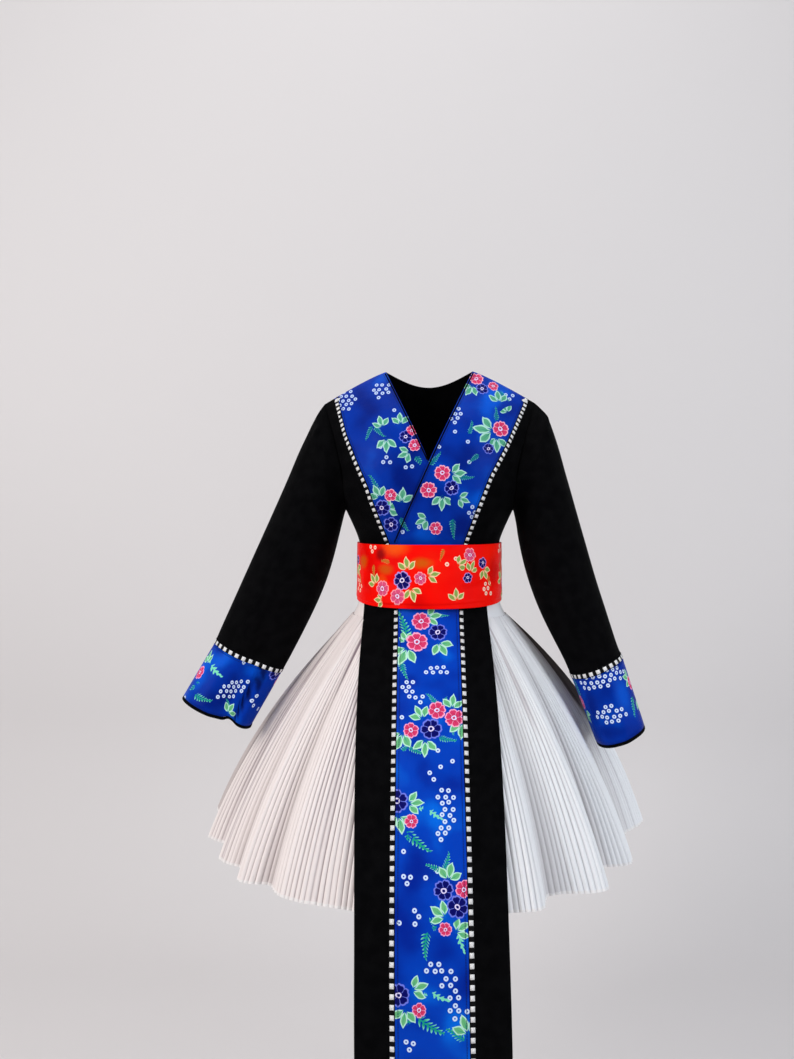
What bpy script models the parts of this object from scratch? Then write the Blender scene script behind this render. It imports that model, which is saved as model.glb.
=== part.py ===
"""A Hmong dress in its worn shape, hollow and open at the neck, cuffs and hems.

Black jacket with flowered blue fronts crossed at a V neck, red sash, white pleated skirt on a
plain waistband, and a long black front apron with a flowered blue strip. Metres, +Z up, the
front faces -Y. The origin is on the centre line, level with the middle of the shoulders.
"""

import math
from collections import namedtuple

import bpy
from mathutils import Vector

# Cloth thickness, and the gap left at every seam and between layers
SEAM_GAP = 0.0003
HALF_GAP = SEAM_GAP / 2
JACKET_CLOTH = 0.0015
SATIN_CLOTH = 0.0015
SASH_CLOTH = 0.0020
PLEAT_CLOTH = 0.0014
RIBBON_CLOTH = 0.0010
RIBBON_WIDTH = 0.0070

# Shoulders and neck
NECK_HALF = 0.0715
NECK_HEIGHT = 0.030
BACK_NECK_DIP = 0.018
SHOULDER_RUN = 0.1115
SHOULDER_FALL = 0.059
SHOULDER_BOW = 1.15
CHEST_DROP = 0.165
BACK_DROP = 0.120
BREASTBONE_HOLLOW = 0.10
BREASTBONE_HALF = 0.040
BACK_NECK_RISE = 0.5

# Jacket levels
ARMPIT_HEIGHT = -0.198
ROWS_TO_ARMPIT = 10
ROWS_BELOW_ARMPIT = (-0.225, -0.254, -0.290)
POINTS_AROUND_SLEEVE = 2 * ROWS_TO_ARMPIT
WRAP_LIFT = 0.0034

BodySection = namedtuple("BodySection", "height half_width front back squareness")
TORSO = (
    BodySection(-0.300, 0.1120, 0.0925, 0.0785, 2.0),
    BodySection(-0.250, 0.1125, 0.0935, 0.0795, 2.0),
    BodySection(-0.227, 0.1230, 0.1020, 0.0830, 2.2),
    BodySection(-0.198, 0.1370, 0.1100, 0.0870, 2.4),
    BodySection(-0.160, 0.1500, 0.1150, 0.0900, 2.4),
    BodySection(-0.110, 0.1630, 0.1160, 0.0920, 2.4),
    BodySection(-0.060, 0.1780, 0.1120, 0.0920, 2.4),
    BodySection(-0.010, 0.1900, 0.1050, 0.0900, 2.4),
    BodySection(0.070, 0.2050, 0.0950, 0.0860, 2.4),
)

LinePoint = namedtuple("LinePoint", "height x")
ARMHOLE = (
    LinePoint(-0.198, 0.137),
    LinePoint(-0.170, 0.136),
    LinePoint(-0.140, 0.139),
    LinePoint(-0.110, 0.145),
    LinePoint(-0.080, 0.153),
    LinePoint(-0.050, 0.163),
    LinePoint(-0.020, 0.173),
)
# Outer edge of each flowered front, where the checked ribbon runs
FRONT_SEAMS = {
    "left": (
        LinePoint(-0.300, 0.043),
        LinePoint(-0.248, 0.063),
        LinePoint(-0.188, 0.086),
        LinePoint(-0.164, 0.094),
        LinePoint(-0.126, 0.111),
        LinePoint(-0.078, 0.131),
        LinePoint(0.000, 0.163),
    ),
    "right": (
        LinePoint(-0.300, 0.037),
        LinePoint(-0.246, 0.055),
        LinePoint(-0.200, 0.072),
        LinePoint(-0.151, 0.091),
        LinePoint(-0.101, 0.118),
        LinePoint(-0.026, 0.153),
        LinePoint(0.000, 0.164),
    ),
}
# Neck edge of the front that lies on top, and of the one under it
OVER_EDGE = (
    LinePoint(-0.300, -0.040),
    LinePoint(-0.250, -0.056),
    LinePoint(-0.125, 0.000),
    LinePoint(NECK_HEIGHT, NECK_HALF),
)
UNDER_EDGE = (
    LinePoint(-0.300, 0.028),
    LinePoint(-0.250, 0.030),
    LinePoint(-0.125, 0.000),
    LinePoint(NECK_HEIGHT, -NECK_HALF),
)
BACK_COLUMNS = (0.0, 0.208, NECK_HALF / 0.172, 0.600, 0.760, 0.880, 0.962, 1.0)
FRONT_COLUMNS = 4
BAND_COLUMNS = 6

# Sleeves: each section runs from the outer to the inner edge of the sleeve as it hangs
SleeveSection = namedtuple("SleeveSection", "outer_x outer_z inner_x inner_z centre_y half_depth")
SLEEVES = {
    "left": (
        SleeveSection(-0.1900, -0.0460, -0.1390, -0.2030, -0.002, 0.0570),
        SleeveSection(-0.2200, -0.1165, -0.1420, -0.2170, -0.006, 0.0570),
        SleeveSection(-0.2508, -0.1894, -0.1457, -0.2360, -0.012, 0.0540),
        SleeveSection(-0.2808, -0.2576, -0.1625, -0.3090, -0.020, 0.0500),
        SleeveSection(-0.3095, -0.3254, -0.1925, -0.3760, -0.029, 0.0470),
        SleeveSection(-0.3382, -0.3923, -0.2270, -0.4430, -0.038, 0.0450),
        SleeveSection(-0.3452, -0.4105, -0.2370, -0.4600, -0.040, 0.0445),
    ),
    "right": (
        SleeveSection(0.1960, -0.0440, 0.1385, -0.2030, -0.002, 0.0570),
        SleeveSection(0.2100, -0.0976, 0.1405, -0.2150, -0.006, 0.0570),
        SleeveSection(0.2243, -0.1480, 0.1420, -0.2260, -0.010, 0.0550),
        SleeveSection(0.2390, -0.2043, 0.1430, -0.2400, -0.015, 0.0530),
        SleeveSection(0.2532, -0.2575, 0.1515, -0.2885, -0.022, 0.0510),
        SleeveSection(0.2670, -0.3127, 0.1682, -0.3425, -0.030, 0.0500),
        SleeveSection(0.2810, -0.3584, 0.1877, -0.3866, -0.037, 0.0510),
        SleeveSection(0.2954, -0.4098, 0.2132, -0.4345, -0.042, 0.0530),
        SleeveSection(0.3036, -0.4290, 0.2254, -0.4647, -0.045, 0.0540),
    ),
}
CUFF_ENDS = {
    "left": SleeveSection(-0.3964, -0.4983, -0.2850, -0.5450, -0.046, 0.0470),
    "right": SleeveSection(0.3363, -0.5354, 0.2640, -0.5683, -0.052, 0.0550),
}
CuffFold = namedtuple("CuffFold", "around depth half_turn")
CUFF_FOLDS = {
    "left": CuffFold(math.radians(112), 0.26, math.radians(15)),
    "right": CuffFold(math.radians(70), 0.07, math.radians(20)),
}
BINDING_LENGTH = 0.005

# Waist: the band the skirt hangs from, and the sash wound over it
RingSection = namedtuple("RingSection", "height half_width front back")
WAISTBAND = (
    RingSection(-0.2925, 0.1125, 0.0935, 0.0795),
    RingSection(-0.3380, 0.1130, 0.0940, 0.0800),
    RingSection(-0.3520, 0.1165, 0.0955, 0.0830),
    RingSection(-0.3680, 0.1250, 0.1010, 0.0900),
)
SASH = (
    RingSection(-0.2500, 0.1170, 0.1030, 0.0840),
    RingSection(-0.2800, 0.1175, 0.1045, 0.0845),
    RingSection(-0.3120, 0.1175, 0.1055, 0.0845),
    RingSection(-0.3410, 0.1185, 0.1075, 0.0850),
)
SASH_TOP_DIP = 0.0035
SASH_HEM_DIP = 0.0100
POINTS_AROUND_WAIST = 36

# Skirt: 46 pleats in each of four widths, over the larger waves that its folds fall into
SKIRT_WIDTHS = ("front_right", "back_right", "back_left", "front_left")
PLEATS_PER_WIDTH = 46
SKIRT_TOP = WAISTBAND[-1]._replace(height=WAISTBAND[-1].height - SEAM_GAP)
HEM_HEIGHT = -0.725
SKIRT_ROWS = (0.0, 0.07, 0.28, 0.62, 1.0)
SKIRT_BELL = 0.42
PUFF_ANGLE = math.radians(108)
PUFF_HALF = math.radians(30)
PUFF = 0.29
PLEAT_AT_TOP = 0.0004
PLEAT_AT_HEM = 0.0026
Fold = namedtuple("Fold", "angle hem_radius")
SKIRT_FOLDS = (
    Fold(-180, 0.330),
    Fold(-169, 0.300),
    Fold(-157, 0.332),
    Fold(-146, 0.303),
    Fold(-134, 0.340),
    Fold(-121, 0.312),
    Fold(-105, 0.386),
    Fold(-93, 0.330),
    Fold(-84, 0.358),
    Fold(-75, 0.324),
    Fold(-67, 0.341),
    Fold(-59, 0.320),
    Fold(-52, 0.337),
    Fold(-45, 0.313),
    Fold(-38, 0.328),
    Fold(-20, 0.313),
    Fold(0, 0.312),
    Fold(19, 0.312),
    Fold(27, 0.320),
    Fold(34, 0.292),
    Fold(49, 0.325),
    Fold(58, 0.277),
    Fold(68, 0.323),
    Fold(84, 0.306),
    Fold(103, 0.372),
    Fold(121, 0.310),
    Fold(134, 0.338),
    Fold(146, 0.302),
    Fold(158, 0.333),
    Fold(170, 0.300),
    Fold(180, 0.330),
)

# Apron: one flat panel that hangs a little askew, with a flowered strip and a ribbon down each
# side of it
APRON_TOP = -0.2940
APRON_HEM = -0.898
PanelSection = namedtuple("PanelSection", "height centre half_width")
APRON_PANEL = (
    PanelSection(APRON_TOP, -0.0075, 0.0920),
    PanelSection(-0.368, -0.0060, 0.0955),
    PanelSection(-0.468, -0.0036, 0.1005),
    PanelSection(-0.590, -0.0004, 0.1003),
    PanelSection(-0.725, 0.0026, 0.0975),
    PanelSection(APRON_HEM, 0.0052, 0.0980),
)
STRIP_CENTRE_TOP = -0.0015
STRIP_CENTRE_HEM = 0.0045
STRIP_HALF = 0.0462
APRON_CLEARANCE = 0.0015
APRON_SPREAD = math.radians(4)
APRON_HANG = ((-0.775, 0.010), (-0.835, 0.018), (APRON_HEM, 0.020))

COLOURS = {
    "black_cloth": (0.012, 0.012, 0.013, 0.85, 0.0),
    "blue_satin": (0.010, 0.065, 0.480, 0.45, 0.0),
    "red_satin": (0.720, 0.012, 0.010, 0.45, 0.0),
    "white_pleats": (0.800, 0.770, 0.780, 0.60, 0.0),
    "check_ribbon": (0.550, 0.550, 0.550, 0.65, 0.0),
}


def clear_scene():
    for thing in list(bpy.data.objects):
        bpy.data.objects.remove(thing)


def make_material(name):
    red, green, blue, roughness, metallic = COLOURS[name]
    material = bpy.data.materials.new(name)
    material.use_nodes = True
    shader = material.node_tree.nodes["Principled BSDF"]
    shader.inputs["Base Color"].default_value = (red, green, blue, 1.0)
    shader.inputs["Roughness"].default_value = roughness
    shader.inputs["Metallic"].default_value = metallic
    return material


def smoothstep(value):
    value = min(1.0, max(0.0, value))
    return value * value * (3 - 2 * value)


def between(rows, height):
    """The row of a table at a height, curving smoothly from row to row."""
    rows = sorted(rows)
    if height <= rows[0][0]:
        return rows[0]
    if height >= rows[-1][0]:
        return rows[-1]
    above = next(i for i, row in enumerate(rows) if row[0] > height)
    low, high = rows[above - 1], rows[above]
    before = rows[max(0, above - 2)]
    after = rows[min(len(rows) - 1, above + 1)]
    span = high[0] - low[0]
    t = (height - low[0]) / span
    values = [height]
    for k in range(1, len(low)):
        slope_low = (high[k] - before[k]) / (high[0] - before[0]) * span
        slope_high = (after[k] - low[k]) / (after[0] - low[0]) * span
        values.append(
            (2 * t**3 - 3 * t**2 + 1) * low[k]
            + (t**3 - 2 * t**2 + t) * slope_low
            + (3 * t**2 - 2 * t**3) * high[k]
            + (t**3 - t**2) * slope_high
        )
    return type(low)(*values)


def straight_between(rows, height):
    """The x of a line made of straight stretches, at a height."""
    rows = sorted(rows)
    if height <= rows[0].height:
        return rows[0].x
    for low, high in zip(rows, rows[1:]):
        if height <= high.height:
            share = (height - low.height) / (high.height - low.height)
            return low.x + share * (high.x - low.x)
    return rows[-1].x


def shoulder_height(x):
    """Height of the shoulder seam at a distance from the centre line."""
    run = max(0.0, abs(x) - NECK_HALF) / SHOULDER_RUN
    return NECK_HEIGHT - SHOULDER_FALL * run**SHOULDER_BOW


def back_top_height(x):
    """Top edge of the back: the shoulder seams, and the neckline that dips between them."""
    if abs(x) >= NECK_HALF:
        return shoulder_height(x)
    return NECK_HEIGHT - BACK_NECK_DIP * math.cos(math.pi / 2 * x / NECK_HALF)


def torso_point(x, z, front):
    """A point on the outside of the jacket's body, in front or behind."""
    section = between(TORSO, z)
    across = math.sqrt(max(0.0, 1 - min(1.0, abs(x) / section.half_width) ** section.squareness))
    inside_neck = max(0.0, NECK_HALF - abs(x))
    if front:
        drop = min(1.0, max(0.0, (shoulder_height(x) - z) / CHEST_DROP))
        hollow = 1 - BREASTBONE_HOLLOW * math.exp(-((x / BREASTBONE_HALF) ** 2))
        depth = section.front * math.sin(drop * math.pi / 2) ** 0.85 * hollow
        return Vector((x, -depth * across - HALF_GAP, z))
    ridge = shoulder_height(x) + BACK_NECK_RISE * inside_neck
    drop = min(1.0, max(0.0, (ridge - z) / BACK_DROP))
    depth = section.back * math.sin(drop * math.pi / 2) ** 0.7
    return Vector((x, depth * across + HALF_GAP, z))


def torso_normal(x, z, front):
    """Outward direction of the jacket's body. It lies in the seam's plane on a shoulder or side seam."""
    half_width = between(TORSO, z).half_width
    on_side = abs(x) > half_width - 0.0005 and z <= ARMPIT_HEIGHT + 0.0005
    on_shoulder = abs(x) >= NECK_HALF - 0.0005 and z > shoulder_height(x) - 0.0005
    if on_side:
        return Vector((math.copysign(1, x), 0, 0))
    step = 0.0015
    x = math.copysign(min(abs(x), half_width * 0.985), x)
    z = min(z, (shoulder_height(x) if front else back_top_height(x)) - step)
    along_x = torso_point(x + step, z, front) - torso_point(x - step, z, front)
    along_z = torso_point(x, z + step, front) - torso_point(x, z - step, front)
    normal = along_x.cross(along_z).normalized()
    if (normal.y < 0) != front:
        normal = -normal
    if on_shoulder:
        normal.y = 0
        normal = Vector((max(-0.6, min(0.6, normal.x)), 0, max(0.8, normal.z)))
    return normal.normalized()


def row_share(row):
    """How far down from the shoulder to the armpit a row lies, closer together at both ends."""
    return (1 - math.cos(math.pi * row / ROWS_TO_ARMPIT)) / 2


def row_height(x, row, top):
    """Height of a grid row at x: rows follow the shoulder at the top and lie level below the armpit."""
    if row > ROWS_TO_ARMPIT:
        return ROWS_BELOW_ARMPIT[row - ROWS_TO_ARMPIT - 1]
    start = top(x)
    return start + (ARMPIT_HEIGHT - start) * row_share(row)


def meet(row, line, top):
    """Where a grid row crosses a line given as x at a height."""
    x = line(ARMPIT_HEIGHT)
    for _ in range(40):
        x = 0.5 * x + 0.5 * line(row_height(x, row, top))
    return x


def side_edge(z):
    """Distance of the armhole, or of the side seam below it, from the centre line."""
    if z >= ARMPIT_HEIGHT:
        return between(ARMHOLE, z).x
    return between(TORSO, z).half_width


def jacket_rows():
    return range(ROWS_TO_ARMPIT + len(ROWS_BELOW_ARMPIT) + 1)


def add_solid(name, vertices, faces, material):
    mesh = bpy.data.meshes.new(name)
    mesh.from_pydata([tuple(v) for v in vertices], [], faces)
    mesh.materials.append(material)
    mesh.validate()
    mesh.shade_smooth()
    mesh.set_sharp_from_angle(angle=math.radians(35))
    thing = bpy.data.objects.new(name, mesh)
    bpy.context.scene.collection.objects.link(thing)
    return thing


def wall(name, outer, inner, material, ring=False):
    """A closed wall between two grids of points, rows by columns. The same diagonals are used on
    both sides, so that it keeps its thickness. A ring's last column joins its first."""
    rows, columns = len(outer), len(outer[0])
    vertices = [p for row in outer for p in row] + [p for row in inner for p in row]
    offset = rows * columns
    faces = []

    def quad(a, b, c, d):
        faces.append((a, b, c))
        faces.append((a, c, d))

    for i in range(rows - 1):
        for j in range(columns if ring else columns - 1):
            k = (j + 1) % columns
            a, b = i * columns + j, i * columns + k
            c, d = (i + 1) * columns + k, (i + 1) * columns + j
            quad(a, b, c, d)
            faces.append((offset + c, offset + b, offset + a))
            faces.append((offset + d, offset + c, offset + a))
    last = (rows - 1) * columns
    for j in range(columns if ring else columns - 1):
        k = (j + 1) % columns
        quad(j, offset + j, offset + k, k)
        quad(last + k, offset + last + k, offset + last + j, last + j)
    if not ring:
        for i in range(rows - 1):
            a, b = i * columns, (i + 1) * columns
            quad(a, b, offset + b, offset + a)
            c, d = a + columns - 1, b + columns - 1
            quad(d, c, offset + c, offset + d)
    volume = sum(
        Vector(vertices[a]).dot(Vector(vertices[b]).cross(Vector(vertices[c]))) for a, b, c in faces
    )
    if volume < 0:
        faces = [tuple(reversed(face)) for face in faces]
    return add_solid(name, vertices, faces, material)


def moved(points, normals, distance):
    return [
        [p + n * distance for p, n in zip(point_row, normal_row)]
        for point_row, normal_row in zip(points, normals)
    ]


def laid_on(name, points, normals, thickness, material, ring=False):
    """A layer that lies on a wall: that wall's own points, moved out."""
    inner = moved(points, normals, SEAM_GAP)
    outer = moved(points, normals, SEAM_GAP + thickness)
    return wall(name, outer, inner, material, ring)


def jacket_back(material):
    points, normals = [], []
    shares = [-s for s in reversed(BACK_COLUMNS[1:])] + list(BACK_COLUMNS)
    for row in jacket_rows():
        edge = meet(row, side_edge, back_top_height)
        xs = [edge * share for share in shares]
        heights = [row_height(x, row, back_top_height) for x in xs]
        points.append([torso_point(x, z, False) for x, z in zip(xs, heights)])
        normals.append([torso_normal(x, z, False) for x, z in zip(xs, heights)])
    wall("jacket_back", points, moved(points, normals, -JACKET_CLOTH), material)


def seam_x(side, row):
    return meet(row, lambda z: straight_between(FRONT_SEAMS[side], z), shoulder_height)


def jacket_front(side, sign, cloth, ribbon):
    """The black part of a front, from the ribbon to the armhole and side seam, and its ribbon."""
    points, normals = [], []
    for row in jacket_rows():
        seam = seam_x(side, row) + HALF_GAP
        edge = meet(row, side_edge, shoulder_height)
        ribbon_edge = min(seam + RIBBON_WIDTH, (seam + edge) / 2)
        xs = [seam]
        for k in range(FRONT_COLUMNS + 1):
            share = math.sin(math.pi / 2 * k / FRONT_COLUMNS)
            xs.append(ribbon_edge + (edge - ribbon_edge) * share)
        xs = [sign * x for x in xs]
        heights = [row_height(x, row, shoulder_height) for x in xs]
        points.append([torso_point(x, z, True) for x, z in zip(xs, heights)])
        normals.append([torso_normal(x, z, True) for x, z in zip(xs, heights)])
    wall(f"jacket_front_{side}", points, moved(points, normals, -JACKET_CLOTH), cloth)
    laid_on(
        f"front_ribbon_{side}",
        [row[:2] for row in points],
        [row[:2] for row in normals],
        RIBBON_CLOTH,
        ribbon,
    )


def wrap_lift(x, z):
    """How far the front on top is raised where it crosses the one under it."""
    full = straight_between(UNDER_EDGE, min(z, -0.125)) + 0.006
    ramp = 0.020
    return WRAP_LIFT * smoothstep((full + ramp - x) / ramp) * smoothstep((-0.060 - z) / 0.050)


def front_band(side, sign, edge_line, lifted, material):
    """The flowered part of a front, from the shoulder down to the sash."""
    points, normals = [], []
    for row in jacket_rows():
        outer_x = sign * (seam_x(side, row) - HALF_GAP)
        inner_x = meet(row, lambda z: straight_between(edge_line, z), shoulder_height)
        xs = [outer_x + (inner_x - outer_x) * k / BAND_COLUMNS for k in range(BAND_COLUMNS + 1)]
        heights = [row_height(x, row, shoulder_height) for x in xs]
        directions = [torso_normal(x, z, True) for x, z in zip(xs, heights)]
        surface = [torso_point(x, z, True) for x, z in zip(xs, heights)]
        if lifted:
            surface = [
                p + n * wrap_lift(x, z)
                for p, n, x, z in zip(surface, directions, xs, heights)
            ]
        points.append(surface)
        normals.append(directions)
    wall(f"front_band_{side}", points, moved(points, normals, -SATIN_CLOTH), material)


def armhole_ring(sign):
    """The armhole's edge: from the shoulder tip down the front to the armpit and up the back."""
    front, back = [], []
    for row in range(ROWS_TO_ARMPIT + 1):
        x = meet(row, side_edge, shoulder_height)
        z = row_height(x, row, shoulder_height)
        front.append(torso_point(sign * x, z, True))
        back.append(torso_point(sign * x, z, False))
    return front + back[-2:0:-1]


def sleeve_ring(section, fold, fold_share):
    """An oval section of a sleeve, starting at its outer edge and going round the front."""
    outer = Vector((section.outer_x, section.centre_y, section.outer_z))
    inner = Vector((section.inner_x, section.centre_y, section.inner_z))
    middle, reach = (outer + inner) / 2, (outer - inner) / 2
    ring = []
    for k in range(POINTS_AROUND_SLEEVE):
        turn = 2 * math.pi * k / POINTS_AROUND_SLEEVE
        dent = 1 - fold_share * fold.depth * math.exp(-(((turn - fold.around) / fold.half_turn) ** 2))
        towards = reach * math.cos(turn) + Vector((0, -section.half_depth, 0)) * math.sin(turn)
        ring.append(middle + towards * dent)
    return ring


def mix_sections(first, second, share):
    return SleeveSection(*(a + (b - a) * share for a, b in zip(first, second)))


def section_gap(first, second):
    """Distance between the middles of two sleeve sections."""
    x = (first.outer_x + first.inner_x - second.outer_x - second.inner_x) / 2
    z = (first.outer_z + first.inner_z - second.outer_z - second.inner_z) / 2
    return math.hypot(x, z)


def tube_normals(rings):
    """Outward directions on a tube made of rings that run down it."""
    count = len(rings[0])
    normals = []
    for i, ring in enumerate(rings):
        above, below = rings[max(0, i - 1)], rings[min(len(rings) - 1, i + 1)]
        middle = sum(ring, Vector()) / count
        row = []
        for j in range(count):
            around = ring[(j + 1) % count] - ring[j - 1]
            normal = around.cross(below[j] - above[j]).normalized()
            if normal.dot(ring[j] - middle) < 0:
                normal = -normal
            row.append(normal)
        normals.append(row)
    return normals


def sleeve(side, sign, cloth, satin, ribbon):
    """A sleeve from the armhole to its flowered cuff, with the ribbon over the cuff's seam and a
    black binding round the cuff's end."""
    sections, cuff_end, fold = SLEEVES[side], CUFF_ENDS[side], CUFF_FOLDS[side]
    seam = sections[-1]
    above_seam = mix_sections(seam, sections[-2], RIBBON_WIDTH / section_gap(seam, sections[-2]))
    armhole = [p + Vector((sign * (SEAM_GAP + 0.0002), 0, 0)) for p in armhole_ring(sign)]
    rings = [armhole]
    for section in (*sections[:-1], above_seam, seam):
        near_cuff = smoothstep((-0.250 - (section.outer_z + section.inner_z) / 2) / 0.180)
        rings.append(sleeve_ring(section, fold, near_cuff * 0.8))
    normals = tube_normals(rings)
    for j, normal in enumerate(normals[0]):
        # The sleeve's wall keeps to its own side of the armhole seam
        if normal.x * sign > 0:
            normals[0][j] = Vector((0, normal.y, normal.z)).normalized()
    wall(f"sleeve_{side}", rings, moved(rings, normals, -JACKET_CLOTH), cloth, ring=True)
    laid_on(f"cuff_ribbon_{side}", rings[-2:], normals[-2:], RIBBON_CLOTH, ribbon, ring=True)

    length = section_gap(seam, cuff_end)
    marks = (
        SEAM_GAP / length,
        0.5,
        1 - BINDING_LENGTH / length,
        1 - (BINDING_LENGTH - SEAM_GAP) / length,
        1.0,
    )
    rings = []
    for mark in marks:
        section = mix_sections(seam, cuff_end, mark)
        rings.append(sleeve_ring(section, fold, 0.8 + 0.2 * mark))
    normals = tube_normals(rings)
    inner = moved(rings, normals, -SATIN_CLOTH)
    wall(f"cuff_{side}", rings[:3], inner[:3], satin, ring=True)
    wall(f"cuff_binding_{side}", rings[3:], inner[3:], cloth, ring=True)


def waist_point(section, angle, height=None):
    """A point on an oval round the waist. Angles run from the front, towards +X."""
    depth = section.front if math.cos(angle) >= 0 else section.back
    z = section.height if height is None else height
    return Vector((section.half_width * math.sin(angle), -depth * math.cos(angle), z))


def shrunk(section, distance):
    return section._replace(
        half_width=section.half_width - distance,
        front=section.front - distance,
        back=section.back - distance,
    )


def waist_angles():
    return [2 * math.pi * k / POINTS_AROUND_WAIST for k in range(POINTS_AROUND_WAIST)]


def waistband(material):
    outer = [[waist_point(s, a) for a in waist_angles()] for s in WAISTBAND]
    inner = [[waist_point(shrunk(s, PLEAT_CLOTH), a) for a in waist_angles()] for s in WAISTBAND]
    wall("skirt_waistband", outer, inner, material, ring=True)


def sash_height(section, angle):
    """The sash sits a little lower in front, more so at its lower edge."""
    share = (SASH[0].height - section.height) / (SASH[0].height - SASH[-1].height)
    dip = SASH_TOP_DIP + (SASH_HEM_DIP - SASH_TOP_DIP) * share
    return section.height - dip * smoothstep((math.cos(angle) + 0.3) / 1.3)


def sash(material):
    outer, inner = [], []
    for section in SASH:
        heights = [sash_height(section, a) for a in waist_angles()]
        thin = shrunk(section, SASH_CLOTH)
        outer.append([waist_point(section, a, z) for a, z in zip(waist_angles(), heights)])
        inner.append([waist_point(thin, a, z) for a, z in zip(waist_angles(), heights)])
    wall("sash", outer, inner, material, ring=True)


def hem_radius(angle):
    """Distance of the hem from the centre line, in and out over the skirt's large folds."""
    degrees = (math.degrees(angle) + 180) % 360 - 180
    for low, high in zip(SKIRT_FOLDS, SKIRT_FOLDS[1:]):
        if degrees <= high.angle:
            share = (degrees - low.angle) / (high.angle - low.angle)
            swing = (1 - math.cos(math.pi * share)) / 2
            return low.hem_radius + (high.hem_radius - low.hem_radius) * swing
    return SKIRT_FOLDS[-1].hem_radius


def bell(share, angle=0.0):
    """How much of the way out to the hem the skirt has swung at a share of its height. One fold
    stands out more on its way down."""
    turn = (angle - PUFF_ANGLE + math.pi) % (2 * math.pi) - math.pi
    puff = PUFF * math.exp(-((turn / PUFF_HALF) ** 2)) * share * (1 - share) ** 1.5
    return share * (1 + SKIRT_BELL - SKIRT_BELL * share) + puff


def skirt_point(angle, share, push):
    """A point on the skirt, pushed out from its smooth surface."""
    top = waist_point(SKIRT_TOP, angle)
    outward = Vector((math.sin(angle), -math.cos(angle), 0))
    hem = outward * hem_radius(angle)
    hem.z = HEM_HEIGHT
    point = top.lerp(hem, bell(share, angle))
    point.z = SKIRT_TOP.height + (HEM_HEIGHT - SKIRT_TOP.height) * share
    return point + outward * push


def pleat_angles():
    """Angles of every pleat ridge and groove, spaced evenly along the waving hem."""
    steps = 2880
    samples = [2 * math.pi * k / steps for k in range(steps + 1)]
    lengths = [0.0]
    for a, b in zip(samples, samples[1:]):
        lengths.append(lengths[-1] + (skirt_point(b, 1, 0) - skirt_point(a, 1, 0)).length)
    count = 2 * PLEATS_PER_WIDTH * len(SKIRT_WIDTHS)
    angles, k = [], 0
    for n in range(count + 1):
        wanted = lengths[-1] * n / count
        while k < steps - 1 and lengths[k + 1] < wanted:
            k += 1
        share = (wanted - lengths[k]) / (lengths[k + 1] - lengths[k])
        angles.append(samples[k] + (samples[k + 1] - samples[k]) * min(1.0, share))
    return angles


def skirt(material):
    angles = pleat_angles()
    per_width = 2 * PLEATS_PER_WIDTH
    for number, name in enumerate(SKIRT_WIDTHS):
        own = angles[number * per_width : (number + 1) * per_width + 1]
        outer, inner = [], []
        for share in SKIRT_ROWS:
            height = PLEAT_AT_TOP + (PLEAT_AT_HEM - PLEAT_AT_TOP) * share
            pushes = [height if k % 2 else -height for k in range(len(own))]
            outer_row = [skirt_point(a, share, p) for a, p in zip(own, pushes)]
            inner_row = [skirt_point(a, share, p - PLEAT_CLOTH) for a, p in zip(own, pushes)]
            for row in (outer_row, inner_row):
                # Each width stops short of the next by half of the seam's gap
                row[0] = row[0] + (row[1] - row[0]).normalized() * HALF_GAP
                row[-1] = row[-1] + (row[-2] - row[-1]).normalized() * HALF_GAP
            outer.append(outer_row)
            inner.append(inner_row)
        wall(f"skirt_{name}", outer, inner, material)


def skirt_reach(share):
    """The oval that clears the skirt's folds under the apron at a share of the skirt's height."""
    plain = SKIRT_TOP.half_width + (hem_radius(0) - SKIRT_TOP.half_width) * bell(share)
    half_apron = max(section.half_width + abs(section.centre) for section in APRON_PANEL)
    widest = math.asin(min(1.0, half_apron / plain)) + APRON_SPREAD
    angles = [widest * k / 24 for k in range(-24, 25)]
    radius = max(hem_radius(a) for a in angles) + PLEAT_AT_TOP + (PLEAT_AT_HEM - PLEAT_AT_TOP) * share
    half = SKIRT_TOP.half_width + (radius - SKIRT_TOP.half_width) * bell(share)
    depth = SKIRT_TOP.front + (radius - SKIRT_TOP.front) * bell(share)
    return half, depth


def apron_sections():
    """(height, half width of the oval it lies on, its depth) from under the sash to the hem."""
    sections = [(APRON_TOP, WAISTBAND[0].half_width, WAISTBAND[0].front)]
    for section in WAISTBAND[1:]:
        sections.append((section.height, section.half_width, section.front))
    for share in SKIRT_ROWS[1:]:
        height = SKIRT_TOP.height + (HEM_HEIGHT - SKIRT_TOP.height) * share
        sections.append((height, *skirt_reach(share)))
    hem_half, hem_depth = sections[-1][1:]
    for height, forward in APRON_HANG:
        sections.append((height, hem_half + forward * 6, hem_depth + forward))
    return sections


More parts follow.
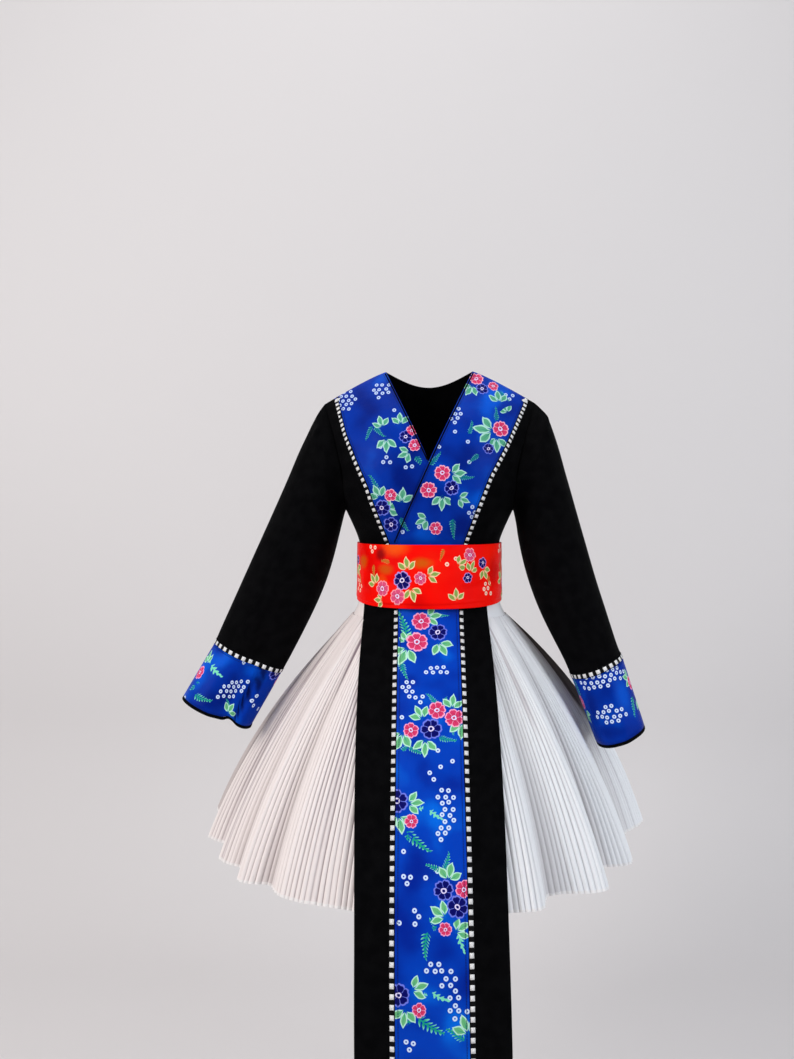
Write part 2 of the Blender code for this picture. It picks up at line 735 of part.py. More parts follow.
def apron(cloth, satin, ribbon):
    """The long front panel, the flowered strip down its middle and a ribbon on either side."""
    points, normals = [], []
    for height, half, depth in apron_sections():
        panel = between(APRON_PANEL, height)
        share = (APRON_TOP - height) / (APRON_TOP - APRON_HEM)
        middle_x = STRIP_CENTRE_TOP + (STRIP_CENTRE_HEM - STRIP_CENTRE_TOP) * share
        ribbon_edge = STRIP_HALF + SEAM_GAP + RIBBON_WIDTH
        marks = [0, STRIP_HALF / 2, STRIP_HALF, STRIP_HALF + SEAM_GAP, ribbon_edge]
        trims = [middle_x - m for m in reversed(marks[1:])] + [middle_x + m for m in marks]
        left_run = panel.centre - panel.half_width - trims[0]
        right_run = panel.centre + panel.half_width - trims[-1]
        places = [trims[0] + left_run * out for out in (1.0, 0.71, 0.38)] + trims
        places += [trims[-1] + right_run * out for out in (0.38, 0.71, 1.0)]
        row, normal_row = [], []
        for x in places:
            bend = math.sqrt(1 - (x / half) ** 2)
            direction = Vector((x / half**2, -bend / depth, 0)).normalized()
            row.append(Vector((x, -depth * bend, height)) + direction * APRON_CLEARANCE)
            normal_row.append(direction)
        points.append(row)
        normals.append(normal_row)
    outer = moved(points, normals, JACKET_CLOTH)
    wall("apron_panel", outer, points, cloth)
    middle = len(points[0]) // 2
    parts = {
        "apron_strip": (slice(middle - 2, middle + 3), satin),
        "apron_ribbon_left": (slice(middle - 4, middle - 2), ribbon),
        "apron_ribbon_right": (slice(middle + 3, middle + 5), ribbon),
    }
    for name, (columns, material) in parts.items():
        laid_on(
            name,
            [row[columns] for row in outer],
            [row[columns] for row in normals],
            RIBBON_CLOTH,
            material,
        )


def main():
    clear_scene()
    materials = {name: make_material(name) for name in COLOURS}
    black, blue = materials["black_cloth"], materials["blue_satin"]
    ribbon, white = materials["check_ribbon"], materials["white_pleats"]
    jacket_back(black)
    for side, sign in (("left", -1), ("right", 1)):
        jacket_front(side, sign, black, ribbon)
        sleeve(side, sign, black, blue, ribbon)
    front_band("left", -1, UNDER_EDGE, False, blue)
    front_band("right", 1, OVER_EDGE, True, blue)
    waistband(white)
    sash(materials["red_satin"])
    skirt(white)
    apron(black, blue, ribbon)


main()
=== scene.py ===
"""The finish of a Hmong dress: black wrapped jacket with flowered blue fronts and cuffs, red
sash, white pleated skirt, and a long black apron with a flowered blue strip."""

import math
from collections import namedtuple

import bmesh
import bpy
import numpy as np
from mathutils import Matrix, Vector
from mathutils.bvhtree import BVHTree


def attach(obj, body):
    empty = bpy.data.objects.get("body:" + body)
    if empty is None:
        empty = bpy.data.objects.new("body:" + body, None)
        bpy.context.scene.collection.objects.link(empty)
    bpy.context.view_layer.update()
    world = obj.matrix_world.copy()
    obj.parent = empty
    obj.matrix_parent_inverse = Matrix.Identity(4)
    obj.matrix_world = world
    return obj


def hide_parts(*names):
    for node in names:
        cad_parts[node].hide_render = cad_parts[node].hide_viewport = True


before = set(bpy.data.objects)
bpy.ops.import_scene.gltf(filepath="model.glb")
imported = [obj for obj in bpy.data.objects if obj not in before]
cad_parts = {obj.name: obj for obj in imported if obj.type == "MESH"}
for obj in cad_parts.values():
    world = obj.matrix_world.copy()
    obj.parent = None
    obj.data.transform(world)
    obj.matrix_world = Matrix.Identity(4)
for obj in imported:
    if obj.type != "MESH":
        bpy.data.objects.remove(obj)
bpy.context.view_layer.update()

# The studio: a pale floor that curves up into a pale backdrop, three soft lights and a camera.
# The camera stands 1.35 m from the shoulders at the height of the chest, turned a little to
# the left, and its picture is 1.747 m high where the shoulders are.
EYE = Vector((0.0, -1.35, -0.230))
AIM = Vector((-0.053, 0.0, -0.230))
PICTURE_HEIGHT = 1.7474
SENSOR = 36.0
FLOOR_HEIGHT = -1.36
BACKDROP_AT = 1.25
BACKDROP_CURVE = 0.55
ROOM = 4.0


def add_piece(name, mesh):
    piece = bpy.data.objects.new(name, mesh)
    bpy.context.scene.collection.objects.link(piece)
    return piece


def grid_mesh(name, points, ring=False):
    """A smooth sheet through rows of points. A ring's last column joins its first."""
    rows, columns = points.shape[:2]
    index = np.arange(rows * columns).reshape(rows, columns)
    if ring:
        index = np.concatenate([index, index[:, :1]], axis=1)
    quads = np.stack([index[:-1, :-1], index[1:, :-1], index[1:, 1:], index[:-1, 1:]], axis=-1)
    mesh = bpy.data.meshes.new(name)
    mesh.from_pydata(points.reshape(-1, 3).tolist(), [], quads.reshape(-1, 4).tolist())
    mesh.shade_smooth()
    return mesh


def new_material(name, colour, roughness):
    """A material with its Principled shader, as (material, node tree, shader)."""
    material = bpy.data.materials.new(name)
    material.use_nodes = True
    shader = material.node_tree.nodes["Principled BSDF"]
    shader.inputs["Base Color"].default_value = (*colour, 1.0)
    shader.inputs["Roughness"].default_value = roughness
    return material, material.node_tree, shader


def soft_light(name, place, target, size, watts, colour):
    lamp = bpy.data.lights.new(name, "AREA")
    lamp.shape = "RECTANGLE"
    lamp.size, lamp.size_y = size
    lamp.energy = watts
    lamp.color = colour
    holder = add_piece(name, lamp)
    holder.location = place
    holder.rotation_euler = (Vector(target) - Vector(place)).to_track_quat("-Z", "Y").to_euler()


camera = bpy.data.cameras.new("camera")
camera.sensor_width = SENSOR
camera.lens = SENSOR * (AIM - EYE).length / PICTURE_HEIGHT
camera_holder = add_piece("camera", camera)
camera_holder.location = EYE
camera_holder.rotation_euler = (AIM - EYE).to_track_quat("-Z", "Y").to_euler()
bpy.context.scene.camera = camera_holder
bpy.context.scene.view_settings.view_transform = "Standard"

bend = np.linspace(0, math.pi / 2, 13)
profile = [(-ROOM, FLOOR_HEIGHT)]
for turn in bend:
    profile.append((
        BACKDROP_AT - BACKDROP_CURVE * (1 - math.sin(turn)),
        FLOOR_HEIGHT + BACKDROP_CURVE * (1 - math.cos(turn)),
    ))
profile.append((BACKDROP_AT, ROOM))
floor_points = np.array([[(x, y, z) for x in (-ROOM, ROOM)] for y, z in profile])
floor = add_piece("floor", grid_mesh("floor", floor_points[:, ::-1]))
floor_paint, _, _ = new_material("floor paint", (0.70, 0.68, 0.68), 0.75)
floor.data.materials.append(floor_paint)

soft_light("key light", (-2.3, -1.7, 1.0), (0, 0, -0.40), (1.1, 1.5), 58, (1.0, 0.96, 0.93))
soft_light("fill light", (2.1, -1.5, 0.6), (0, 0, -0.35), (1.2, 1.8), 32, (0.88, 0.94, 1.0))
soft_light("top light", (0.0, 0.1, 2.6), (0, 0.3, -0.3), (2.4, 2.0), 20, (1.0, 1.0, 1.0))
world = bpy.data.worlds.new("studio air")
world.use_nodes = True
world.node_tree.nodes["Background"].inputs["Color"].default_value = (0.96, 0.96, 1.0, 1.0)
world.node_tree.nodes["Background"].inputs["Strength"].default_value = 0.42
bpy.context.scene.world = world

# The jacket's back and two fronts: matt black plain-weave cotton, cut to just under the sash and
# sewn at the shoulders and sides. Each is a fine shell in the form of its solid, with soft
# creases that fan out from the armpits and gather towards the sash.
MERGE = 0.00001
CREASED = math.radians(55)
JOINED = math.radians(60)
CLOTH_LEVELS = 3
THREAD = 0.00045
BODY_FLATNESS = 0.6
RIDGE_AT, RIDGE_SHARE = 1.9, 0.35
SIDE_TURN = 2.5
Crease = namedtuple("Crease", "side x1 z1 x2 z2 width depth")
FRONT, BACK = -1, 1
BODY_CREASES = (
    Crease(FRONT, -0.138, -0.18, -0.088, -0.235, 0.0085, 0.0026),
    Crease(FRONT, -0.128, -0.205, -0.095, -0.25, 0.006, 0.0018),
    Crease(FRONT, -0.15, -0.12, -0.112, -0.178, 0.009, 0.0018),
    Crease(FRONT, 0.136, -0.182, 0.092, -0.24, 0.008, 0.0024),
    Crease(FRONT, 0.127, -0.208, 0.09, -0.25, 0.006, 0.0018),
    Crease(FRONT, 0.148, -0.115, 0.122, -0.17, 0.0085, 0.0016),
    Crease(BACK, -0.132, -0.175, -0.05, -0.245, 0.01, 0.003),
    Crease(BACK, 0.13, -0.168, 0.062, -0.24, 0.0095, 0.0028),
    Crease(BACK, -0.105, -0.205, -0.03, -0.252, 0.007, 0.0022),
    Crease(BACK, 0.098, -0.212, 0.022, -0.25, 0.0075, 0.002),
    Crease(BACK, -0.07, -0.03, 0.04, -0.06, 0.014, 0.002),
    Crease(BACK, 0.15, -0.06, 0.085, -0.14, 0.011, 0.0022),
    Crease(BACK, -0.148, -0.07, -0.095, -0.15, 0.011, 0.002),
)


def plain_copy(name, source):
    """The evaluated mesh of an object, as a new plain mesh."""
    bpy.context.view_layer.update()
    graph = bpy.context.evaluated_depsgraph_get()
    mesh = bpy.data.meshes.new_from_object(source.evaluated_get(graph), depsgraph=graph)
    mesh.name = name
    return mesh


def cloth_from(node, levels=CLOTH_LEVELS):
    """A fine mesh in the form of a solid: its triangles joined into quads and rounded by
    subdivision, with the cloth's own edges kept sharp."""
    work = bmesh.new()
    work.from_mesh(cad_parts[node].data)
    bmesh.ops.remove_doubles(work, verts=work.verts, dist=MERGE)
    bmesh.ops.join_triangles(
        work, faces=work.faces, angle_face_threshold=JOINED, angle_shape_threshold=JOINED
    )
    crease = work.edges.layers.float.new("crease_edge")
    for edge in work.edges:
        if len(edge.link_faces) != 2 or edge.calc_face_angle() > CREASED:
            edge[crease] = 1.0
    mesh = bpy.data.meshes.new(node)
    work.to_mesh(mesh)
    work.free()
    holder = add_piece("form", mesh)
    rounding = holder.modifiers.new("rounding", "SUBSURF")
    rounding.levels = rounding.render_levels = levels
    fine = plain_copy(node + "_cloth", holder)
    bpy.data.objects.remove(holder)
    fine.materials.clear()
    fine.shade_smooth()
    fine.set_sharp_from_angle(angle=CREASED)
    return fine


def read_points(mesh):
    points = np.empty(len(mesh.vertices) * 3)
    mesh.vertices.foreach_get("co", points)
    return points.reshape(-1, 3)


def write_points(mesh, points):
    mesh.vertices.foreach_set("co", points.ravel())
    mesh.update()


def press(points, outward, creases):
    """Moves a cloth's points in along soft troughs, deepest at mid-length, with a low ridge to
    either side. `outward` holds each point's direction away from the body, and a crease works on
    the front or the back only."""
    moved = points.copy()
    for crease in creases:
        start = np.array((crease.x1, crease.z1))
        run = np.array((crease.x2, crease.z2)) - start
        flat = points[:, (0, 2)] - start
        share = np.clip(flat @ run / (run @ run), 0, 1)
        away = np.linalg.norm(flat - share[:, None] * run, axis=1) / crease.width
        facing = np.clip(outward[:, 1] * crease.side * SIDE_TURN, 0, 1)
        trough = np.exp(-(away ** 2)) * np.sin(math.pi * (0.12 + 0.76 * share))
        ridge = np.exp(-((away - RIDGE_AT) ** 2)) * RIDGE_SHARE * np.sin(math.pi * share)
        moved -= outward * ((trough - ridge) * facing * crease.depth)[:, None]
    return moved


def set_uv(mesh, across, along, turn=None):
    """The cloth's own coordinates in metres. Where a piece closes on itself, `turn` is its
    length round, and faces that cross the join are unwrapped."""
    loops = np.empty(len(mesh.loops), dtype=np.int32)
    mesh.loops.foreach_get("vertex_index", loops)
    uv = np.stack([across[loops], along[loops]], axis=1)
    if turn:
        starts = np.empty(len(mesh.polygons), dtype=np.int32)
        counts = np.empty(len(mesh.polygons), dtype=np.int32)
        mesh.polygons.foreach_get("loop_start", starts)
        mesh.polygons.foreach_get("loop_total", counts)
        widest = np.maximum.reduceat(uv[:, 0], starts)
        crossing = widest - np.minimum.reduceat(uv[:, 0], starts) > turn / 2
        behind = np.repeat(crossing, counts) & (uv[:, 0] < np.repeat(widest, counts) - turn / 2)
        uv[behind, 0] += turn
    layer = mesh.uv_layers.new(name="cloth")
    layer.uv.foreach_set("vector", uv.astype(np.float32).ravel())


def from_axis(points):
    """Level directions away from the body's upright axis, turned more to the front and back."""
    out = np.stack([points[:, 0] * BODY_FLATNESS, points[:, 1], np.zeros(len(points))], axis=1)
    return out / np.maximum(np.linalg.norm(out, axis=1), 1e-6)[:, None]


def add_node(tree, kind, **settings):
    made = tree.nodes.new(kind)
    for key, value in settings.items():
        setattr(made, key, value)
    return made


class Term:
    """A number, vector or colour in a node tree. Numbers take the usual signs of arithmetic."""

    def __init__(self, tree, socket):
        self.tree, self.socket = tree, socket

    def __add__(self, other):
        return maths("ADD", self, other)

    def __sub__(self, other):
        return maths("SUBTRACT", self, other)

    def __rsub__(self, other):
        return maths("SUBTRACT", other, self)

    def __mul__(self, other):
        return maths("MULTIPLY", self, other)

    def __truediv__(self, other):
        return maths("DIVIDE", self, other)

    def __rtruediv__(self, other):
        return maths("DIVIDE", other, self)

    def __pow__(self, other):
        return maths("POWER", self, other)

    def __abs__(self):
        return maths("ABSOLUTE", self)

    def __lt__(self, other):
        return maths("LESS_THAN", self, other)

    def __gt__(self, other):
        return maths("GREATER_THAN", self, other)


def plug(target, value):
    """Links a term, or sets a plain value, on an input."""
    if isinstance(value, Term):
        value.tree.links.new(value.socket, target)
    else:
        target.default_value = value


def made_by(tree, kind, output, feeds=None, **settings):
    """One output of a new node, with its inputs linked or set."""
    made = add_node(tree, kind, **settings)
    for label, value in (feeds or {}).items():
        plug(made.inputs[label], value)
    return Term(tree, made.outputs[output])


def tree_of(*values):
    return next(value.tree for value in values if isinstance(value, Term))


def maths(operation, *values):
    feeds = dict(enumerate(values))
    return made_by(tree_of(*values), "ShaderNodeMath", "Value", feeds, operation=operation)


def ramp(value, low, high, first=0.0, second=1.0):
    """A value taken smoothly from one level to another as it crosses a range."""
    feeds = {"Value": value, "From Min": low, "From Max": high, "To Min": first, "To Max": second}
    return made_by(
        value.tree, "ShaderNodeMapRange", "Result", feeds, interpolation_type="SMOOTHSTEP", clamp=True
    )


def fade(value, low, high):
    """1 below a range and 0 above it, smoothly."""
    return ramp(value, low, high, 1.0, 0.0)


def blend(share, first, second, kind="RGBA"):
    made = add_node(share.tree, "ShaderNodeMix", data_type=kind)
    active = [socket for socket in made.inputs if socket.enabled]
    for target, value in zip(active, (share, first, second)):
        plug(target, value)
    return Term(share.tree, next(socket for socket in made.outputs if socket.enabled))


def noise(vector, scale, detail=2.0, output="Fac"):
    feeds = {"Vector": vector, "Scale": scale, "Detail": detail}
    return made_by(vector.tree, "ShaderNodeTexNoise", output, feeds)


def parts_of(vector):
    """A vector's three numbers."""
    made = add_node(vector.tree, "ShaderNodeSeparateXYZ")
    plug(made.inputs[0], vector)
    return [Term(vector.tree, socket) for socket in made.outputs]


def new_group(name, inputs, outputs, kind="ShaderNodeTree"):
    """An empty node group, what it is given and the inputs for its result. Inputs are (name,
    socket type, value), outputs (name, socket type)."""
    group = bpy.data.node_groups.new(name, kind)
    for label, socket_type, value in inputs:
        made = group.interface.new_socket(label, in_out="INPUT", socket_type=socket_type)
        if value is not None:
            made.default_value = value
    for label, socket_type in outputs:
        group.interface.new_socket(label, in_out="OUTPUT", socket_type=socket_type)
    given = {socket.name: Term(group, socket) for socket in group.nodes.new("NodeGroupInput").outputs}
    return group, given, group.nodes.new("NodeGroupOutput").inputs


def use_group(tree, group, **values):
    """The outputs of a group, by name. An underscore in a value's name stands for a space."""
    made = add_node(tree, "ShaderNodeGroup", node_tree=group)
    for label, value in values.items():
        plug(made.inputs[label.replace("_", " ")], value)
    return {socket.name: Term(tree, socket) for socket in made.outputs}


FLOAT, VECTOR = "NodeSocketFloat", "NodeSocketVector"

# Threads passing over and under each other. A float of one is a plain weave, and a longer
# float gives satin's long smooth threads.
weave, given, result = new_group(
    "Woven threads",
    (("Vector", VECTOR, None), ("Thread", FLOAT, THREAD), ("Float", FLOAT, 1.0)),
    (("Height", FLOAT), ("Shade", FLOAT)),
)
x, y, _ = parts_of(given["Vector"])
warp_at = x / given["Thread"]
weft_at = y / (given["Thread"] * given["Float"])
stagger = maths("FLOOR", warp_at) * 0.4
warp_wave = maths("SINE", warp_at * math.pi)
weft_wave = maths("SINE", (weft_at + stagger) * math.pi)
over = (warp_wave * weft_wave) > 0.0
plug(result["Height"], over * abs(warp_wave) + (1.0 - over) * abs(weft_wave))
plug(result["Shade"], ramp(noise(given["Vector"], 55.0), 0.3, 0.7))


def cloth_place(tree):
    """A piece's own coordinates, in metres along the cloth."""
    return made_by(tree, "ShaderNodeUVMap", "UV", uv_map="cloth")


def add_bump(shader, height, distance):
    feeds = {"Height": height, "Distance": distance}
    plug(shader.inputs["Normal"], made_by(height.tree, "ShaderNodeBump", "Normal", feeds))


COTTON_DARK, COTTON_WORN = (0.0010, 0.0010, 0.0014, 1), (0.0024, 0.0024, 0.0029, 1)
COTTON_LINT = (0.007, 0.007, 0.008, 1)
cotton, tree, shader = new_material("black cotton", (0.003, 0.003, 0.0035), 0.80)
cloth = cloth_place(tree)
threads = use_group(tree, weave, Vector=cloth)
worn = blend(threads["Shade"], COTTON_DARK, COTTON_WORN)
plug(shader.inputs["Base Color"], blend(ramp(noise(cloth, 900.0), 0.66, 0.76), worn, COTTON_LINT))
plug(shader.inputs["Roughness"], ramp(threads["Height"], 0, 1, 0.86, 0.72))
shader.inputs["Specular IOR Level"].default_value = 0.03
add_bump(shader, threads["Height"], 0.00016)

JACKET_ROUND, JACKET_DEEP = 0.13, 0.05
Panel = namedtuple("Panel", "node wide long area")
JACKET_PANELS = (
    Panel("jacket_back", 0.36, 0.36, 0.100),
    Panel("jacket_front_left", 0.13, 0.30, 0.021),
    Panel("jacket_front_right", 0.13, 0.30, 0.021),
)
jacket_shells = {}
for node, wide, long, area in JACKET_PANELS:
    shell = cloth_from(node)
    points = read_points(shell)
    around = np.arctan2(points[:, 0], np.abs(points[:, 1]) + JACKET_DEEP) * JACKET_ROUND
    set_uv(shell, around, points[:, 2])
    write_points(shell, press(points, from_axis(points), BODY_CREASES))
    shell.materials.append(cotton)
    piece = add_piece(node + "_cloth", shell)
    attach(piece, "root")
    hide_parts(node)
    jacket_shells[node] = piece

# The sleeves: the same black cotton, each a tube from the armhole to the flowered cuff. They
# hang a little forward, with creases across the elbow and under the shoulder.
SleeveCreases = namedtuple("SleeveCreases", "node wide long area creases")
SLEEVES = (
    SleeveCreases("sleeve_left", 0.36, 0.42, 0.140, (
        Crease(FRONT, -0.16, -0.215, -0.215, -0.19, 0.011, 0.0034),
        Crease(FRONT, -0.168, -0.245, -0.228, -0.232, 0.008, 0.0024),
        Crease(FRONT, -0.19, -0.29, -0.262, -0.262, 0.0095, 0.003),
        Crease(FRONT, -0.185, -0.31, -0.24, -0.318, 0.0075, 0.002),
        Crease(FRONT, -0.235, -0.375, -0.3, -0.352, 0.01, 0.0022),
        Crease(FRONT, -0.185, -0.08, -0.2, -0.15, 0.011, 0.002),
        Crease(BACK, -0.17, -0.2, -0.225, -0.215, 0.011, 0.003),
        Crease(BACK, -0.205, -0.305, -0.265, -0.285, 0.01, 0.003),
        Crease(BACK, -0.225, -0.33, -0.285, -0.345, 0.0085, 0.0022),
        Crease(BACK, -0.18, -0.07, -0.205, -0.14, 0.011, 0.0022),
    )),
    SleeveCreases("sleeve_right", 0.36, 0.44, 0.140, (
        Crease(FRONT, 0.155, -0.215, 0.205, -0.18, 0.011, 0.0034),
        Crease(FRONT, 0.16, -0.25, 0.222, -0.222, 0.008, 0.0026),
        Crease(FRONT, 0.175, -0.3, 0.238, -0.272, 0.0095, 0.003),
        Crease(FRONT, 0.18, -0.328, 0.232, -0.332, 0.0075, 0.002),
        Crease(FRONT, 0.215, -0.4, 0.272, -0.372, 0.01, 0.0022),
        Crease(FRONT, 0.185, -0.075, 0.198, -0.14, 0.011, 0.002),
        Crease(BACK, 0.165, -0.205, 0.215, -0.205, 0.011, 0.003),
        Crease(BACK, 0.18, -0.29, 0.245, -0.28, 0.01, 0.003),
        Crease(BACK, 0.19, -0.33, 0.252, -0.338, 0.0085, 0.0022),
        Crease(BACK, 0.18, -0.065, 0.2, -0.13, 0.011, 0.0022),
    )),
)
SEAM_REACH, SEAM_DRAW = 0.0014, 0.96


def tube_axis(points, steps=24):
    """Each point's place about the bent axis of a slanting tube: distance along it, direction
    away from it and distance out."""
    order = np.argsort(points[:, 2])
    part = len(points) // steps
    low, high = points[order[:part]].mean(axis=0), points[order[-part:]].mean(axis=0)
    direction = (low - high) / np.linalg.norm(low - high)
    along = (points - high) @ direction
    marks = np.linspace(along.min(), along.max(), steps)
    reach = (marks[1] - marks[0]) * 1.2
    near = [np.abs(along - mark) < reach for mark in marks]
    centres = np.array([(points[n].min(axis=0) + points[n].max(axis=0)) / 2 for n in near])
    offset = centres - high - np.outer((centres - high) @ direction, direction)
    shift = np.stack([np.interp(along, marks, offset[:, k]) for k in range(3)], axis=1)
    out = points - high - along[:, None] * direction - shift
    far = np.linalg.norm(out, axis=1)
    return along, out / np.maximum(far, 1e-6)[:, None], far


def round_tube(out, direction_x):
    """The angle round a tube, from the outer side by way of the front."""
    return np.arctan2(-out[:, 1], out[:, 0] * direction_x)


def surface_of(*pieces):
    """A search tree over finished pieces, for others to be laid on."""
    points, faces = [], []
    for piece in pieces:
        start = len(points)
        points += [vertex.co.copy() for vertex in piece.data.vertices]
        faces += [[start + k for k in face.vertices] for face in piece.data.polygons]
    return BVHTree.FromPolygons(points, faces)


def sewn_up(points, other_cloth):
    """Points of a cloth, with its edge drawn up to the cloth it is sewn to."""
    drawn = points.copy()
    for number, point in enumerate(points):
        place = other_cloth.find_nearest(Vector(point), SEAM_REACH)[0]
        if place is not None:
            drawn[number] += SEAM_DRAW * (np.array(place) - point)
    return drawn


jacket_cloth = surface_of(*jacket_shells.values())
sleeve_shells = {}
for sleeve in SLEEVES:
    shell = cloth_from(sleeve.node)
    points = read_points(shell)
    along, out, far = tube_axis(points)
    side = -1 if sleeve.node.endswith("left") else 1
    round_length = 2 * math.pi * float(np.median(far))
    around = (round_tube(out, side) / (2 * math.pi) + 0.5) * round_length
    set_uv(shell, around, along, turn=round_length)
    write_points(shell, sewn_up(press(points, out, sleeve.creases), jacket_cloth))
    shell.materials.append(cotton)
    piece = add_piece(sleeve.node + "_cloth", shell)
    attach(piece, "root")
    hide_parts(sleeve.node)
    sleeve_shells[sleeve.node] = piece

# The flowered fronts: blue satin printed with flowers, leaves, ferns and rings, crossed over
# each other under the V neck, with a thin black piping along the neck edge.
Motif = namedtuple("Motif", "x y size turn kind", defaults=(0,))
Patch = namedtuple("Patch", "x y half_wide half_high turn", defaults=(0,))
PINK, NAVY = 0, 1
TWIG = 1
BLUE_REPEAT = (0.120, 0.640, 1.0)
BLUE_FLOWERS = (
    Motif(-0.0137, 0.259, 0.015, 10, PINK), Motif(-0.0196, 0.224, 0.0172, 35, PINK),
    Motif(0.0114, 0.241, 0.0146, 0, NAVY), Motif(0.0095, 0.115, 0.0132, 15, PINK),
    Motif(0.0335, 0.1035, 0.014, 40, PINK), Motif(0.0013, 0.088, 0.0156, 5, NAVY),
    Motif(-0.027, 0.0855, 0.0116, 25, PINK), Motif(-0.0445, -0.0105, 0.016, 30, NAVY),
    Motif(-0.025, -0.0355, 0.0094, 0, PINK), Motif(0.017, -0.118, 0.0132, 12, NAVY),
    Motif(0.0345, -0.1375, 0.0142, 44, NAVY), Motif(0.0428, -0.117, 0.0114, 20, PINK),
    Motif(0.0186, -0.163, 0.009, 5, PINK), Motif(-0.0395, -0.24, 0.0146, 15, NAVY),
    Motif(-0.0138, -0.257, 0.0094, 30, PINK),
)
BLUE_LEAVES = (
    Motif(0.0122, 0.224, 0.0251, -62), Motif(-0.005, 0.266, 0.0217, 10),
    Motif(-0.034, 0.214, 0.0308, -112), Motif(-0.035, 0.223, 0.0205, 115),
    Motif(0.0305, 0.117, 0.0217, 82), Motif(-0.01, 0.102, 0.0217, 122), Motif(0.045, 0.098, 0.0251, -95),
    Motif(-0.0385, 0.082, 0.0262, -110), Motif(-0.007, 0.073, 0.0239, -92),
    Motif(-0.03, -0.013, 0.0211, 4), Motif(-0.042, -0.028, 0.0239, -78),
    Motif(0.0225, -0.107, 0.0217, 76), Motif(0.0195, -0.149, 0.0217, 150),
    Motif(0.031, -0.166, 0.0205, 30), Motif(-0.023, -0.234, 0.0205, 22),
    Motif(-0.031, -0.256, 0.0217, -98), Motif(0.047, -0.285, 0.0239, 110),
)
BLUE_FERNS = (
    Motif(-0.016, -0.02, 0.018, 0, TWIG), Motif(-0.001, -0.021, 0.022, -45, TWIG),
    Motif(0.036, -0.167, 0.025, -85, TWIG), Motif(-0.008, -0.2385, 0.014, 10, TWIG),
    Motif(0.002, -0.236, 0.024, -35, TWIG), Motif(-0.035, 0.232, 0.044, 96),
    Motif(-0.043, 0.192, 0.032, -84), Motif(0.01, 0.27, 0.018, -18), Motif(0.01, 0.122, 0.024, 118),
    Motif(0.018, 0.122, 0.018, 60), Motif(-0.031, 0.062, 0.022, -150), Motif(-0.03, 0.062, 0.024, -35),
    Motif(0.012, 0.076, 0.024, -22), Motif(0.032, 0.092, 0.016, -100), Motif(-0.039, -0.042, 0.03, -84),
    Motif(-0.031, -0.048, 0.04, -50), Motif(-0.029, -0.052, 0.026, -98), Motif(0.017, -0.097, 0.026, 62),
    Motif(0.015, -0.097, 0.024, 146), Motif(0.009, -0.155, 0.025, 164), Motif(0.008, -0.16, 0.02, -158),
    Motif(-0.004, -0.166, 0.032, -106), Motif(-0.025, -0.264, 0.03, -96),
    Motif(-0.015, -0.266, 0.042, -40), Motif(0.042, -0.293, 0.03, 136),
)
BLUE_RINGS = (
    Patch(0.0105, 0.176, 0.021, 0.0065), Patch(-0.031, 0.147, 0.011, 0.015),
    Patch(-0.014, 0.131, 0.007, 0.007), Patch(-0.042, 0.101, 0.004, 0.004),
    Patch(0.01, 0.0577, 0.003, 0.003), Patch(0.03, 0.0423, 0.003, 0.003),
    Patch(0.015, 0.0346, 0.003, 0.003), Patch(0.0, 0.0269, 0.003, 0.003),
    Patch(0.005, 0.0192, 0.003, 0.003), Patch(0.02, -0.004, 0.012, 0.015),
    Patch(0.024, -0.03, 0.01, 0.02, -8), Patch(0.017, -0.052, 0.01, 0.007),
    Patch(-0.038, -0.072, 0.004, 0.004), Patch(-0.001, -0.086, 0.004, 0.004),
    Patch(-0.032, -0.105, 0.009, 0.009), Patch(-0.006, -0.101, 0.005, 0.004),
    Patch(0.008, -0.099, 0.004, 0.004), Patch(-0.018, -0.15, 0.006, 0.014),
    Patch(-0.038, -0.158, 0.004, 0.004), Patch(0.006, -0.207, 0.016, 0.009, -10),
    Patch(0.024, -0.22, 0.012, 0.012), Patch(0.03, -0.24, 0.009, 0.014),
    Patch(0.033, -0.262, 0.012, 0.007), Patch(-0.027, -0.298, 0.013, 0.006),
    Patch(0.044, -0.262, 0.005, 0.005),
)
RING_CELL = (0.0100, 0.0076875)
RING_COLUMNS, RING_LINES = 12, 32
RING_RADIUS, RING_STRAY = 0.00205, 0.0022
PETALS = 6.0
LEAFLETS, TWIG_LEAFLETS = 7.5, 4.0
FERN_STEM, TWIG_STEM_EXTRA = 0.013, 0.014
TWIG_PALE = 0.85
SATIN_THREAD, SATIN_FLOAT = 0.00022, 5.0


def vector_maths(operation, *values, scale=None, tree=None):
    feeds = dict(enumerate(values))
    if scale is not None:
        feeds["Scale"] = scale
    output = "Value" if operation in ("LENGTH", "DISTANCE") else "Vector"
    return made_by(
        tree or tree_of(*values), "ShaderNodeVectorMath", output, feeds, operation=operation
    )


def vector_of(x, y=0.0, z=0.0):
    return made_by(tree_of(x, y, z), "ShaderNodeCombineXYZ", "Vector", {"X": x, "Y": y, "Z": z})


def wrapped(vector, repeat):
    """A vector brought to within half a repeat of zero, so that a print has no seams."""
    ends = [vector_maths("SCALE", repeat, scale=share, tree=vector.tree) for share in (0.5, -0.5)]
    return vector_maths("WRAP", vector, *ends)


def turned(vector, angle):
    feeds = {"Vector": vector, "Angle": angle}
    return made_by(vector.tree, "ShaderNodeVectorRotate", "Vector", feeds, rotation_type="Z_AXIS")


def polar(vector):
    """A vector's length and its angle."""
    x, y, _ = parts_of(vector)
    return vector_maths("LENGTH", vector), maths("ARCTAN2", y, x)


def strayed(colour, reach):
    """A noise's colour as a small shift to any side."""
    return vector_maths("SCALE", vector_maths("SUBTRACT", colour, (0.5, 0.5, 0.5)), scale=reach)


